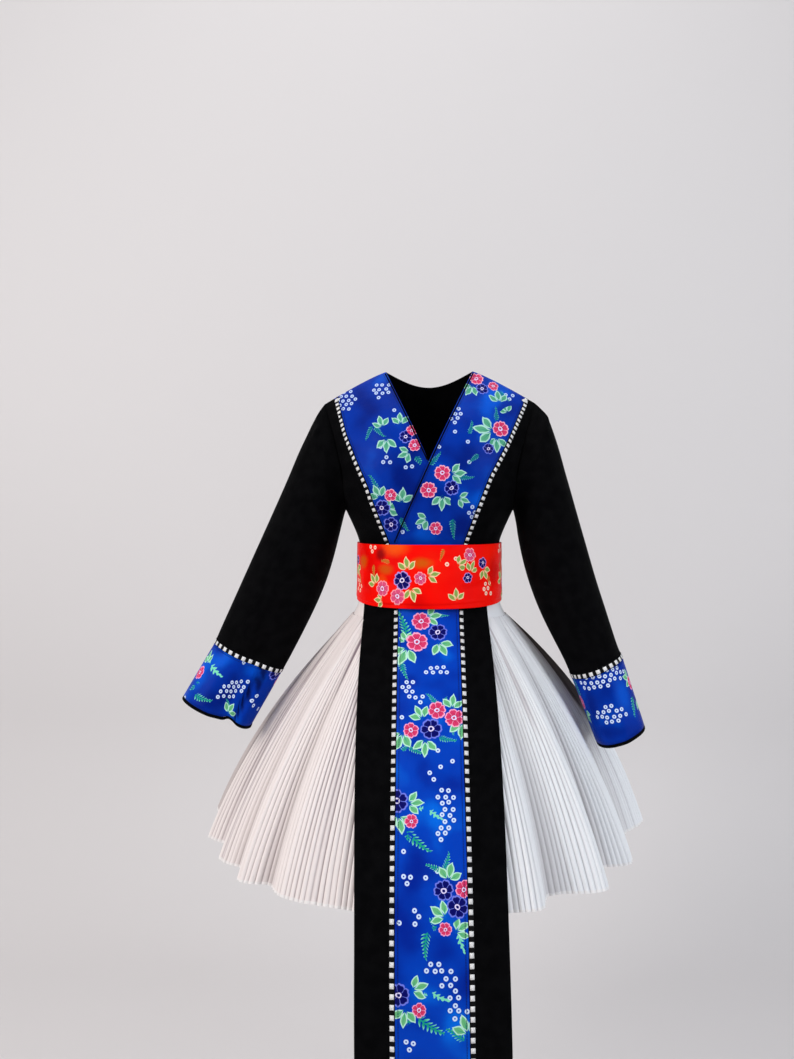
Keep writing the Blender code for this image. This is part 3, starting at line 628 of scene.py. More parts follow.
# One motif at a time: keeps the nearer of this motif and the nearest so far, as a place in the
# motif's own circle of radius 1
nearest_motif, given, result = new_group(
    "Nearest motif",
    (
        ("Vector", VECTOR, None), ("Repeat", VECTOR, BLUE_REPEAT), ("Centre", VECTOR, None),
        ("Size", FLOAT, 0.01), ("Turn", FLOAT, 0.0), ("Kind", FLOAT, 0.0),
        ("Near Place", VECTOR, (9, 9, 0)), ("Near Distance", FLOAT, 9.0), ("Near Kind", FLOAT, 0.0),
    ),
    (("Near Place", VECTOR), ("Near Distance", FLOAT), ("Near Kind", FLOAT)),
)
offset = wrapped(vector_maths("SUBTRACT", given["Vector"], given["Centre"]), given["Repeat"])
own_place = vector_maths("SCALE", turned(offset, given["Turn"] * -1.0), scale=1.0 / given["Size"])
distance = vector_maths("LENGTH", own_place)
nearer = distance < given["Near Distance"]
plug(result["Near Place"], blend(nearer, given["Near Place"], own_place, "VECTOR"))
plug(result["Near Distance"], maths("MINIMUM", distance, given["Near Distance"]))
plug(result["Near Kind"], blend(nearer, given["Near Kind"], given["Kind"], "FLOAT"))

# A flower of rounded petals, each with an outline, and a ring for its heart
flower, given, result = new_group(
    "Flower print",
    (("Place", VECTOR, None), ("Petals", FLOAT, PETALS)),
    (("Flower", FLOAT), ("Outline", FLOAT), ("Heart", FLOAT), ("Streak", FLOAT)),
)
radius, angle = polar(given["Place"])
half_turns = angle * (given["Petals"] * 0.5)
lobe = abs(maths("COSINE", half_turns))
inside = maths("MULTIPLY_ADD", lobe ** 0.5, 0.27, 0.73) - lobe ** 14.0 * 0.07 - radius
parting = fade(lobe * radius, 0.045, 0.085) * ramp(radius, 0.30, 0.36)
fine_lines = maths("COSINE", half_turns * 6.0)
plug(result["Flower"], ramp(inside, -0.02, 0.02))
plug(result["Outline"], maths("MAXIMUM", parting, fade(inside, 0.10, 0.17)))
plug(result["Heart"], fade(abs(radius - 0.20), 0.045, 0.075))
plug(result["Streak"], ramp(fine_lines, 0.2, 0.9) * fade(radius, 0.25, 0.62))

# A fan of three leaves, each with an outline and a midrib
leaves, given, result = new_group(
    "Leaf spray print",
    (("Place", VECTOR, None), ("Spread", FLOAT, math.radians(47))),
    (("Leaf", FLOAT), ("Outline", FLOAT), ("Midrib", FLOAT)),
)
radius, angle = polar(given["Place"])
which = maths("MAXIMUM", maths("ROUND", angle / given["Spread"]), -1.0)
which = maths("MINIMUM", which, 1.0)
own_angle = angle - which * given["Spread"]
along = radius * maths("COSINE", own_angle)
across = abs(radius * maths("SINE", own_angle))
length = 1.0 - abs(which) * 0.14
share = maths("MAXIMUM", (along - 0.12) / (length - 0.04), 0.0)
share = maths("MINIMUM", share, 1.0)
inside = maths("SINE", share * math.pi) ** 1.15 * 0.225 - across
plug(result["Leaf"], ramp(inside, -0.012, 0.012) * (along < length + 0.08))
plug(result["Outline"], fade(inside, 0.050, 0.100))
plug(result["Midrib"], fade(across, 0.012, 0.03) * fade(share, 0.15, 0.8))

# A bent fern: pointed leaflets leaning along a stem, shorter towards its tip. With a thick stem
# and few leaflets it is a twig
ferns, given, result = new_group(
    "Fern print",
    (("Place", VECTOR, None), ("Leaflets", FLOAT, LEAFLETS), ("Stem", FLOAT, FERN_STEM)),
    (("Fern", FLOAT), ("Tip", FLOAT)),
)
x, y, _ = parts_of(given["Place"])
bent = y - x * x * 0.22
across = abs(bent)
root = x - across * 0.70
share = maths("MINIMUM", across / ramp(root, 0.95, 0.15, 0.07, 0.19), 1.0)
beat = maths("FRACT", root * given["Leaflets"] + (bent > 0.0) * 0.4)
plump = maths("SINE", maths("MULTIPLY_ADD", share, 0.86 * math.pi, 0.14 * math.pi))
leaflet = ramp(plump * 0.30 - abs(beat - 0.5), -0.03, 0.05) * (share < 1.0)
leaflet = leaflet * fade(root, 0.93, 0.97) * ramp(root, 0.0, 0.04)
stem = fade(across / given["Stem"], 1.0, 2.0) * fade(x, 0.97, 1.0) * ramp(x, 0.0, 0.03)
plug(result["Fern"], maths("MAXIMUM", leaflet, stem))
plug(result["Tip"], ramp(share, 0.25, 0.95))

# Small rings in staggered rows, a little out of line, for the patches to let through
rings, given, result = new_group(
    "Ring print",
    (
        ("Vector", VECTOR, None), ("Cell Width", FLOAT, RING_CELL[0]),
        ("Cell Height", FLOAT, RING_CELL[1]),
    ),
    (("Ring", FLOAT), ("Halo", FLOAT), ("Middle", VECTOR)),
)
x, y, _ = parts_of(given["Vector"])
row = maths("FLOOR", y / given["Cell Height"])
odd = maths("FLOORED_MODULO", row, 2.0) * 0.5
column = maths("FLOOR", x / given["Cell Width"] - odd)
cell = vector_of(
    maths("FLOORED_MODULO", column, RING_COLUMNS), maths("FLOORED_MODULO", row, RING_LINES)
)
chance = made_by(
    rings, "ShaderNodeTexWhiteNoise", "Color", {"Vector": cell}, noise_dimensions="3D"
)
jitter = vector_maths("MULTIPLY", strayed(chance, RING_STRAY), (1, 1, 0))
middle = vector_of((column + odd + 0.5) * given["Cell Width"], (row + 0.5) * given["Cell Height"])
flat = vector_maths("MULTIPLY", given["Vector"], (1, 1, 0))
away = vector_maths("DISTANCE", flat, vector_maths("ADD", middle, jitter))
plug(result["Ring"], fade(abs(away - RING_RADIUS), 0.00085, 0.00120))
plug(result["Halo"], fade(away, 0.0030, 0.0046))
plug(result["Middle"], middle)


def nearest_of(vector, repeat, table):
    """A chain over a table of motifs, as the place in the nearest one and its kind."""
    place, distance, kind = (9, 9, 0), 9.0, 0.0
    for motif in table:
        near = use_group(
            vector.tree, nearest_motif, Vector=vector, Repeat=repeat, Centre=(motif.x, motif.y, 0),
            Size=motif.size, Turn=math.radians(motif.turn), Kind=float(motif.kind),
            Near_Place=place, Near_Distance=distance, Near_Kind=kind,
        )
        place, distance, kind = near["Near Place"], near["Near Distance"], near["Near Kind"]
    return place, kind


def ring_patches(middle, repeat, table):
    """1 where a ring's middle lies in one of the patches."""
    let_through = 0.0
    for patch in table:
        offset = wrapped(vector_maths("SUBTRACT", middle, (patch.x, patch.y, 0)), repeat)
        local = turned(offset, -math.radians(patch.turn))
        scaled = vector_maths("DIVIDE", local, (patch.half_wide, patch.half_high, 1))
        let_through = maths("MAXIMUM", let_through, vector_maths("LENGTH", scaled) < 1.0)
    return let_through


Palette = namedtuple(
    "Palette",
    "dark plain bright pink pink_deep pink_line navy navy_line heart leaf leaf_line fern fern_tip ring",
)
Print = namedtuple("Print", "repeat flowers leaves ferns rings stains", defaults=((),))
# A soft patch of another colour in a satin's ground; most are painted shade and painted sheen.
Stain = namedtuple("Stain", "x y half_wide half_high strength colour")


def printed_satin(name, palette, design):
    """Satin with a printed repeat, read from the piece's own coordinates. Tone patches are soft
    patches of another colour in the ground, most of them painted shade and painted sheen."""
    material, tree, shader = new_material(name, palette.plain[:3], 0.42)
    cloth = cloth_place(tree)
    uv = vector_maths("ADD", cloth, strayed(noise(cloth, 120.0, 1.0, "Color"), 0.0034))
    # Painted sheen and shade: the satin's ground goes between dark, plain and bright in broad random
    # patches.
    tone = noise(uv, 14.0, 1.5)
    ground = blend(ramp(tone, 0.30, 0.52), palette.dark, palette.plain)
    ground = blend(ramp(tone, 0.52, 0.72), ground, palette.bright)
    for tone_patch in design.stains:
        away = vector_maths("SUBTRACT", uv, (tone_patch.x, tone_patch.y, 0))
        away = vector_maths("DIVIDE", away, (tone_patch.half_wide, tone_patch.half_high, 1))
        reach = vector_maths("LENGTH", away) + tone * 0.6
        ground = blend(ramp(reach, 0.5, 1.5, tone_patch.strength, 0.0), ground, tone_patch.colour)
    ring = use_group(tree, rings, Vector=cloth)
    allowed = ring_patches(ring["Middle"], design.repeat, design.rings)
    colour = blend(ring["Halo"] * allowed * 0.55, ground, palette.dark)
    colour = blend(ring["Ring"] * allowed, colour, palette.ring)
    place, kind = nearest_of(uv, design.repeat, design.ferns)
    leaflets = maths("MULTIPLY_ADD", kind, TWIG_LEAFLETS - LEAFLETS, LEAFLETS)
    stem = maths("MULTIPLY_ADD", kind, TWIG_STEM_EXTRA, FERN_STEM)
    fern = use_group(tree, ferns, Place=place, Leaflets=leaflets, Stem=stem)
    pale = maths("MAXIMUM", fern["Tip"], kind * TWIG_PALE)
    colour = blend(fern["Fern"], colour, blend(pale, palette.fern, palette.fern_tip))
    place, _ = nearest_of(uv, design.repeat, design.leaves)
    leaf = use_group(tree, leaves, Place=place)
    leaf_colour = blend(leaf["Outline"], palette.leaf, palette.leaf_line)
    leaf_colour = blend(leaf["Midrib"], leaf_colour, palette.fern)
    colour = blend(leaf["Leaf"], colour, leaf_colour)
    place, kind = nearest_of(uv, design.repeat, design.flowers)
    bloom = use_group(tree, flower, Place=place)
    pink = blend(bloom["Streak"], palette.pink, palette.pink_deep)
    pink = blend(bloom["Outline"], pink, palette.pink_line)
    navy = blend(bloom["Outline"], palette.navy, palette.navy_line)
    petals = blend(bloom["Heart"], blend(kind, pink, navy), palette.heart)
    plug(shader.inputs["Base Color"], blend(bloom["Flower"], colour, petals))
    threads = use_group(tree, weave, Vector=cloth, Thread=SATIN_THREAD, Float=SATIN_FLOAT)
    plug(shader.inputs["Roughness"], ramp(threads["Shade"], 0, 1, 0.36, 0.46))
    shader.inputs["Specular IOR Level"].default_value = 0.045
    add_bump(shader, threads["Height"] * 0.02 + noise(cloth, 60.0) * 0.6, 0.0016)
    return material


def srgb(red, green, blue):
    """A colour as seen, 0 to 255, as the linear colour that the shaders use."""
    seen = [value / 255 for value in (red, green, blue)]
    linear = [v / 12.92 if v <= 0.04045 else ((v + 0.055) / 1.055) ** 2.4 for v in seen]
    return (*linear, 1.0)


BLUE = Palette(
    dark=srgb(0, 28, 122), plain=srgb(0, 48, 158), bright=srgb(0, 86, 208),
    pink=srgb(214, 56, 104), pink_deep=srgb(150, 8, 52), pink_line=srgb(250, 168, 204),
    navy=srgb(6, 10, 98), navy_line=srgb(112, 124, 230), heart=srgb(226, 216, 255),
    leaf=srgb(106, 184, 124), leaf_line=srgb(186, 238, 214), fern=srgb(28, 158, 128),
    fern_tip=srgb(132, 230, 190), ring=srgb(208, 226, 255),
)
BRIGHT_BLUE = BLUE._replace(dark=srgb(0, 36, 148), plain=srgb(0, 62, 184), bright=srgb(0, 104, 224))
FRONT_REPEAT = (0.40, 0.50, 1.0)
FRONT_FLOWERS = (
    Motif(-0.036, -0.088, 0.011, 20, NAVY), Motif(-0.027, -0.078, 0.009, 35, PINK),
    Motif(-0.022, -0.101, 0.01, 5, PINK), Motif(-0.059, -0.178, 0.0098, 10, PINK),
    Motif(-0.072, -0.197, 0.013, 0, NAVY), Motif(-0.059, -0.222, 0.012, 25, NAVY),
    Motif(0.077, 0.015, 0.012, 0, PINK), Motif(0.085, -0.004, 0.0108, 25, NAVY),
    Motif(0.104, 0.003, 0.009, 12, PINK), Motif(0.112, -0.073, 0.0138, 15, PINK),
    Motif(0.091, -0.106, 0.0088, 0, NAVY), Motif(0.02, -0.144, 0.0126, 30, PINK),
    Motif(0.034, -0.167, 0.012, 10, NAVY), Motif(-0.001, -0.17, 0.013, 0, PINK),
    Motif(0.01, -0.228, 0.0105, 0, PINK), Motif(-0.15, -0.12, 0.012, 0, NAVY),
)
FRONT_LEAVES = (
    Motif(-0.044, -0.068, 0.0194, 95), Motif(-0.029, -0.112, 0.0194, -155),
    Motif(-0.066, -0.09, 0.0228, -88), Motif(-0.072, -0.072, 0.0194, 110),
    Motif(-0.075, -0.182, 0.0217, 118), Motif(-0.066, -0.2, 0.0228, 28),
    Motif(-0.042, -0.19, 0.0228, 84), Motif(0.07, 0.002, 0.0217, -122), Motif(0.112, -0.028, 0.0228, 96),
    Motif(0.125, -0.045, 0.0182, 118), Motif(0.099, -0.078, 0.0308, 172),
    Motif(0.105, -0.087, 0.0239, -92), Motif(0.033, -0.146, 0.0228, 4), Motif(0.02, -0.178, 0.0228, -92),
    Motif(0.044, -0.182, 0.0182, -20), Motif(-0.002, -0.214, 0.0194, 200),
)
FRONT_FERNS = (
    Motif(-0.088, -0.07, 0.024, -130), Motif(-0.084, -0.07, 0.024, -60),
    Motif(-0.079, -0.172, 0.028, 104), Motif(-0.074, -0.176, 0.02, 145),
    Motif(-0.02, -0.118, 0.026, -62), Motif(0.112, -0.004, 0.026, -60), Motif(0.104, -0.06, 0.024, 75),
    Motif(0.0, -0.132, 0.026, 36), Motif(0.044, -0.15, 0.024, -14), Motif(0.037, -0.214, 0.03, -100),
    Motif(0.037, -0.214, 0.026, -50), Motif(0.076, -0.116, 0.022, -150), Motif(0.06, -0.084, 0.022, 60),
    Motif(-0.044, -0.212, 0.024, -70), Motif(-0.08, -0.175, 0.025, 100, TWIG),
)
FRONT_RINGS = (
    Patch(-0.135, -0.022, 0.016, 0.02, -10), Patch(-0.077, -0.005, 0.017, 0.015),
    Patch(-0.065, -0.126, 0.013, 0.008), Patch(-0.073, -0.102, 0.005, 0.004),
    Patch(-0.057, -0.042, 0.006, 0.008), Patch(0.127, -0.014, 0.01, 0.009),
    Patch(0.042, -0.052, 0.008, 0.015, -10), Patch(0.036, -0.082, 0.005, 0.005),
    Patch(0.015, -0.102, 0.006, 0.01), Patch(0.058, -0.098, 0.005, 0.005),
    Patch(0.061, -0.126, 0.007, 0.008), Patch(-0.03, -0.134, 0.006, 0.006),
    Patch(-0.01, -0.226, 0.008, 0.006), Patch(-0.04, -0.232, 0.006, 0.006),
    Patch(0.066, -0.206, 0.008, 0.016),
)
FADED_BLUE = BLUE._replace(
    leaf=srgb(88, 166, 130), leaf_line=srgb(172, 224, 208), fern=srgb(20, 132, 122),
    fern_tip=srgb(104, 206, 180), ring=srgb(184, 204, 242), pink_line=srgb(250, 178, 200),
)
blue_fronts = printed_satin(
    "printed blue satin of the fronts", FADED_BLUE,
    Print(FRONT_REPEAT, FRONT_FLOWERS, FRONT_LEAVES, FRONT_FERNS, FRONT_RINGS),
)
BANDS = (
    Panel("front_band_left", 0.125, 0.34, 0.032),
    Panel("front_band_right", 0.125, 0.34, 0.036),
)
BAND_CREASES = (
    Crease(FRONT, -0.07, -0.252, -0.04, -0.17, 0.0075, 0.0016),
    Crease(FRONT, 0.056, -0.25, 0.026, -0.178, 0.008, 0.0016),
    Crease(FRONT, 0.018, -0.252, 0.002, -0.19, 0.006, 0.0012),
    Crease(FRONT, -0.12, -0.06, -0.08, -0.105, 0.011, 0.0014),
    Crease(FRONT, 0.122, -0.055, 0.088, -0.11, 0.011, 0.0014),
)
band_pieces = {}
for band in BANDS:
    shell = cloth_from(band.node)
    points = read_points(shell)
    set_uv(shell, points[:, 0], points[:, 2])
    write_points(shell, press(points, from_axis(points), BAND_CREASES))
    shell.materials.append(blue_fronts)
    piece = add_piece(band.node + "_cloth", shell)
    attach(piece, "root")
    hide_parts(band.node)
    band_pieces[band.node] = piece

# The cuffs: the same printed satin, a wide band round the end of each sleeve with a black
# binding along its edge. The left one has a deep fold running down it, darkened with painted shade.
Cuff = namedtuple("Cuff", "side direction_x wide long")
CUFFS = (
    Cuff("left", -1, 0.34, 0.100),
    Cuff("right", 1, 0.31, 0.105),
)
CUFF_CREASES = (
    Crease(FRONT, -0.258, -0.44, -0.311, -0.54, 0.005, 0.006),
    Crease(FRONT, -0.318, -0.436, -0.328, -0.52, 0.009, 0.0014),
    Crease(BACK, -0.285, -0.44, -0.318, -0.56, 0.007, 0.003),
    Crease(FRONT, 0.262, -0.45, 0.292, -0.58, 0.008, 0.0018),
    Crease(BACK, 0.25, -0.45, 0.285, -0.58, 0.007, 0.003),
)
CUFF_REPEAT = (0.34, 0.30, 1.0)
CUFF_FLOWERS = (
    Motif(0.192, -0.047, 0.0108, 10, PINK), Motif(0.15, -0.052, 0.012, 25, NAVY),
    Motif(0.136, -0.04, 0.0115, 0, PINK), Motif(0.008, -0.06, 0.012, 15, PINK),
    Motif(0.33, -0.046, 0.011, 0, NAVY),
)
CUFF_LEAVES = (
    Motif(0.199, -0.033, 0.0205, 100), Motif(0.258, -0.112, 0.0228, 55),
    Motif(0.146, -0.066, 0.0217, -80), Motif(0.133, -0.034, 0.0205, 160),
    Motif(0.012, -0.074, 0.0205, -60), Motif(0.325, -0.034, 0.0194, 110),
)
CUFF_FERNS = (
    Motif(0.206, -0.031, 0.022, 34, TWIG), Motif(0.216, -0.033, 0.034, -42, TWIG),
    Motif(0.198, -0.06, 0.028, -84), Motif(0.202, -0.08, 0.03, -28), Motif(0.196, -0.066, 0.026, -118),
    Motif(0.262, -0.104, 0.02, 100), Motif(0.126, -0.06, 0.03, -120), Motif(0.012, -0.05, 0.03, 80),
)
CUFF_RINGS = (
    Patch(0.268, -0.068, 0.032, 0.013, 22), Patch(0.283, -0.026, 0.005, 0.004),
    Patch(0.308, -0.09, 0.005, 0.016), Patch(0.325, -0.1, 0.005, 0.005),
    Patch(0.189, -0.086, 0.005, 0.005), Patch(0.078, -0.024, 0.046, 0.012, 8),
    Patch(0.076, -0.078, 0.031, 0.013),
)
# Painted shade: a dark blue line down the left cuff's fold.
FOLD_SHADE_BLUE = srgb(0, 14, 74)
FOLD_SHADE_WIDE, FOLD_SHADE_HIGH, FOLD_SHADE_STRENGTH = 0.0036, 0.0185, 0.90
UvPoint = namedtuple("UvPoint", "across along")
FOLD_LINE = (
    UvPoint(0.3140, -0.0450), UvPoint(0.3105, -0.0600), UvPoint(0.3010, -0.0740),
    UvPoint(0.2920, -0.0880), UvPoint(0.2840, -0.1020), UvPoint(0.2775, -0.1130),
)
CUFF_SHADE_AND_SHEEN = tuple(
    Stain(point.across, point.along, FOLD_SHADE_WIDE, FOLD_SHADE_HIGH, FOLD_SHADE_STRENGTH, FOLD_SHADE_BLUE)
    for point in FOLD_LINE
) + (
    # On the right cuff: a painted sheen patch in bright blue and painted shade patches in dark blue.
    Stain(-0.236, -0.052, 0.018, 0.032, 0.75, BLUE.bright),
    Stain(-0.294, -0.064, 0.014, 0.044, 0.70, BLUE.dark),
    Stain(-0.266, -0.104, 0.036, 0.012, 0.60, BLUE.dark),
    Stain(-0.262, -0.040, 0.012, 0.020, 0.40, BLUE.dark),
)
blue_cuffs = printed_satin(
    "printed blue satin of the cuffs", BLUE,
    Print(CUFF_REPEAT, CUFF_FLOWERS, CUFF_LEAVES, CUFF_FERNS, CUFF_RINGS, CUFF_SHADE_AND_SHEEN),
)
Layer = namedtuple("Layer", "part material slot")
CUFF_LAYERS = (
    Layer("cuff", blue_cuffs, "blue_satin"),
    Layer("cuff_binding", cotton, "black_cloth"),
)
LinePoint = namedtuple("LinePoint", "x z")
HEM_OUTER, HEM_INNER = LinePoint(-0.3964, -0.4983), LinePoint(-0.2850, -0.5450)
HEM_REACH = 0.045
NOTCH_X, NOTCH_HALF, NOTCH_RISE = -0.3140, 0.0070, 0.0060
LOBE_X, LOBE_HALF, LOBE_DROP = -0.2900, 0.0110, 0.0030


def notched(points, out):
    """Points of the left cuff or its binding, with the hem notched where the fold runs out in
    front, and a little lower beside the notch."""
    x, height = points[:, 0], points[:, 2]
    slope = (HEM_INNER.z - HEM_OUTER.z) / (HEM_INNER.x - HEM_OUTER.x)
    above = height - HEM_OUTER.z - (x - HEM_OUTER.x) * slope
    share = np.clip(1 - above / HEM_REACH, 0, 1) * np.clip(-3 * out[:, 1], 0, 1)
    notch = NOTCH_RISE * np.exp(-((x - NOTCH_X) / NOTCH_HALF) ** 2)
    lobe = LOBE_DROP * np.exp(-((x - LOBE_X) / LOBE_HALF) ** 2)
    lowered = points.copy()
    lowered[:, 2] += share * (notch - lobe)
    return lowered


cuff_pieces = {}
for cuff in CUFFS:
    for part, material, slot in CUFF_LAYERS:
        node = f"{part}_{cuff.side}"
        shell = cloth_from(node)
        points = read_points(shell)
        along, out, _ = tube_axis(points, 3)
        share = round_tube(out, cuff.direction_x) / (2 * math.pi) + 0.5
        around = -cuff.direction_x * share * CUFF_REPEAT[0]
        set_uv(shell, around, along.min() - along, turn=CUFF_REPEAT[0])
        points = press(points, out, CUFF_CREASES)
        write_points(shell, notched(points, out) if cuff.side == "left" else points)
        shell.materials.append(material)
        piece = add_piece(node + "_cloth", shell)
        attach(piece, "root")
        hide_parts(node)
        cuff_pieces[node] = piece

# The checked ribbon: a 7 mm black woven ribbon with raised white squares, sewn down over the
# outer seam of each flowered front and over the seam of each cuff. The fronts have a finer check.
RIBBON_HALF = 0.0036
RIBBON_RISE = 0.0005
RIBBON_LIFT = 0.0003
SQUARE_RISE = 0.0006
Check = namedtuple("Check", "pitch long wide")
FRONT_CHECK = Check(0.0097, 0.0053, 0.0056)
CUFF_CHECK = Check(0.0118, 0.0060, 0.0062)
APRON_CHECK = Check(0.0123, 0.0063, 0.0056)
RIBBON_STEP = 0.003
RIBBON_COLUMNS = 7
CROWN_EDGE = 0.12
RIB_THREAD = 0.0005
FRONT_RIBBONS = {
    "front_ribbon_left": (
        LinePoint(-0.1560, -0.0060), LinePoint(-0.1345, -0.0780), LinePoint(-0.1145, -0.1260),
        LinePoint(-0.0975, -0.1640), LinePoint(-0.0895, -0.1880), LinePoint(-0.0665, -0.2480),
        LinePoint(-0.0535, -0.2820),
    ),
    "front_ribbon_right": (
        LinePoint(0.1605, -0.0110), LinePoint(0.1565, -0.0260), LinePoint(0.1215, -0.1010),
        LinePoint(0.0945, -0.1510), LinePoint(0.0755, -0.2000), LinePoint(0.0585, -0.2460),
        LinePoint(0.0470, -0.2820),
    ),
}


def spaced(line, step):
    """Points at even steps along a line of points, with the direction at each."""
    line = np.array(line, dtype=float)
    lengths = np.concatenate([[0], np.cumsum(np.linalg.norm(np.diff(line, axis=0), axis=1))])
    count = max(2, int(round(lengths[-1] / step)) + 1)
    marks = np.linspace(0, lengths[-1], count)
    places = np.stack([np.interp(marks, lengths, line[:, k]) for k in range(line.shape[1])], axis=1)
    soft = places.copy()
    for _ in range(3):
        soft[1:-1] = (soft[:-2] + 2 * soft[1:-1] + soft[2:]) / 4
    along = np.gradient(soft, axis=0)
    return soft, along / np.linalg.norm(along, axis=1)[:, None]


def slab(name, points, outward, low, high, ring=False):
    """A closed flat strip over a grid of points: its underside at one height above them and its
    top at another, a little lower at its edges."""
    crown = np.sin(np.linspace(CROWN_EDGE, math.pi - CROWN_EDGE, points.shape[1])) ** 0.35
    top = points + outward * (low + (high - low) * crown)[None, :, None]
    under = points + outward * low
    rows, columns = points.shape[:2]
    section = np.concatenate([top, under[:, ::-1]], axis=1)
    index = np.arange(rows * 2 * columns).reshape(rows, 2 * columns)
    index = np.concatenate([index, index[:, :1]], axis=1)
    if ring:
        index = np.concatenate([index, index[:1]], axis=0)
    quads = np.stack([index[:-1, :-1], index[:-1, 1:], index[1:, 1:], index[1:, :-1]], axis=-1)
    faces = quads.reshape(-1, 4).tolist()
    if not ring:
        faces += [index[0, :-1][::-1].tolist(), index[-1, :-1].tolist()]
    mesh = bpy.data.meshes.new(name)
    mesh.from_pydata(section.reshape(-1, 3).tolist(), [], faces)
    work = bmesh.new()
    work.from_mesh(mesh)
    bmesh.ops.recalc_face_normals(work, faces=work.faces)
    work.to_mesh(mesh)
    work.free()
    mesh.shade_smooth()
    mesh.set_sharp_from_angle(angle=math.radians(50))
    return mesh


GEOMETRY, MATERIAL = "NodeSocketGeometry", "NodeSocketMaterial"


def named_value(tree, name, data_type="FLOAT"):
    """What a mesh's points carry under a name."""
    feeds = {"Name": name}
    return made_by(tree, "GeometryNodeInputNamedAttribute", "Attribute", feeds, data_type=data_type)


def input_keys(group):
    """The keys under which a modifier holds its group's inputs."""
    items = group.interface.items_tree
    return {item.name: item.identifier for item in items if item.in_out == "INPUT"}


# Small pads set at even steps along a line, such as woven squares or stitches
sewn, given, result = new_group(
    "sewn along a line",
    (
        ("Line", GEOMETRY, None), ("Spacing", FLOAT, 0.013), ("Length", FLOAT, 0.006),
        ("Width", FLOAT, 0.006), ("Height", FLOAT, 0.001), ("Lift", FLOAT, 0.0),
        ("Material", MATERIAL, None),
    ),
    (("Sewn", GEOMETRY),),
    "GeometryNodeTree",
)
line = made_by(sewn, "GeometryNodeMeshToCurve", "Curve", {"Mesh": given["Line"]})
steps = made_by(
    sewn, "GeometryNodeResampleCurve", "Curve",
    {"Curve": line, "Length": given["Spacing"]}, mode="LENGTH",
)
stand = made_by(
    sewn, "FunctionNodeAlignRotationToVector", "Rotation",
    {"Vector": named_value(sewn, "up", "FLOAT_VECTOR")}, axis="Z",
)
face_along = made_by(
    sewn, "FunctionNodeAlignRotationToVector", "Rotation",
    {"Rotation": stand, "Vector": made_by(sewn, "GeometryNodeInputTangent", "Tangent")},
    axis="X", pivot_axis="Z",
)
size = vector_of(given["Length"], given["Width"], given["Height"])
pad = made_by(sewn, "GeometryNodeMeshCube", "Mesh", {"Size": size})
soft_pad = made_by(
    sewn, "GeometryNodeSubdivisionSurface", "Mesh", {"Mesh": pad, "Level": 1, "Edge Crease": 1.0}
)
raised = made_by(
    sewn, "GeometryNodeTransform", "Geometry",
    {"Translation": vector_of(0.0, 0.0, given["Lift"]), "Geometry": soft_pad},
)
placed = made_by(
    sewn, "GeometryNodeInstanceOnPoints", "Instances",
    {"Points": steps, "Instance": raised, "Rotation": face_along},
)
real = made_by(sewn, "GeometryNodeRealizeInstances", "Geometry", {"Geometry": placed})
smooth = made_by(sewn, "GeometryNodeSetShadeSmooth", "Geometry", {"Geometry": real})
dressed = made_by(
    sewn, "GeometryNodeSetMaterial", "Geometry",
    {"Geometry": smooth, "Material": given["Material"]},
)
plug(result["Sewn"], dressed)
sewn_inputs = input_keys(sewn)


def sew_along(name, line, ups, material, ring=False, **sizes):
    """A mesh of pads set along a line of points, each standing on its own outward direction."""
    mesh = bpy.data.meshes.new(name)
    edges = [(k, k + 1) for k in range(len(line) - 1)] + ([(len(line) - 1, 0)] if ring else [])
    mesh.from_pydata(np.asarray(line).tolist(), edges, [])
    direction = mesh.attributes.new("up", "FLOAT_VECTOR", "POINT")
    direction.data.foreach_set("vector", np.asarray(ups, dtype=np.float32).ravel())
    holder = add_piece("line", mesh)
    sewing = holder.modifiers.new("sewn", "NODES")
    sewing.node_group = sewn
    for label, value in sizes.items():
        sewing[sewn_inputs[label]] = value
    sewing[sewn_inputs["Material"]] = material
    pads = plain_copy(name, holder)
    bpy.data.objects.remove(holder)
    return pads


def object_place(tree):
    return made_by(tree, "ShaderNodeTexCoord", "Object")


def ribbed(name, colour, roughness, shades, relief):
    """Fine ribs of thread in two close shades, as a material and its shader."""
    material, tree, shader = new_material(name, colour, roughness)
    ribs = use_group(tree, weave, Vector=object_place(tree), Thread=RIB_THREAD, Float=1.0)
    plug(shader.inputs["Base Color"], blend(ribs["Height"], *shades))
    add_bump(shader, ribs["Height"], relief)
    return material, shader


ribbon_ground, shader = ribbed(
    "black ribbon", (0.006, 0.006, 0.007), 0.62,
    ((0.002, 0.002, 0.003, 1), (0.005, 0.005, 0.006, 1)), 0.0002,
)
shader.inputs["Specular IOR Level"].default_value = 0.07
ribbon_white, _ = ribbed(
    "white ribbon squares", (0.95, 0.95, 0.96), 0.60,
    ((0.94, 0.94, 0.95, 1), (1.0, 1.0, 1.0, 1)), 0.0003,
)


def add_ribbon(node, check, points, outward, ring=False):
    """A ribbon over a grid of points on the cloth, with its white squares."""
    ground = slab(node, points, outward, RIBBON_LIFT, RIBBON_LIFT + RIBBON_RISE, ring)
    middle = points.shape[1] // 2
    line = points[:, middle] + outward[:, middle] * (RIBBON_LIFT + RIBBON_RISE * 0.7)
    squares = sew_along(
        node + "_squares", line, outward[:, middle], ribbon_white, ring,
        Spacing=check.pitch, Length=check.long, Width=check.wide, Height=SQUARE_RISE, Lift=0.0,
    )
    ground.materials.append(ribbon_ground)
    woven = [add_piece(node + "_woven", ground), add_piece(node + "_squares", squares)]
    for piece in woven:
        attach(piece, "root")
        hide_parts(node)
    return woven


IN_FRONT, FRONT_CLOTH = -0.6, -0.02


def seen_from_front(surface, x, z):
    """Where a line towards the back meets a surface, and the surface's direction there."""
    place, direction, _, _ = surface.ray_cast(Vector((x, IN_FRONT, z)), Vector((0, 1, 0)))
    if place is None:
        place, direction, _, _ = surface.find_nearest(Vector((x, FRONT_CLOTH, z)))
    return place, direction


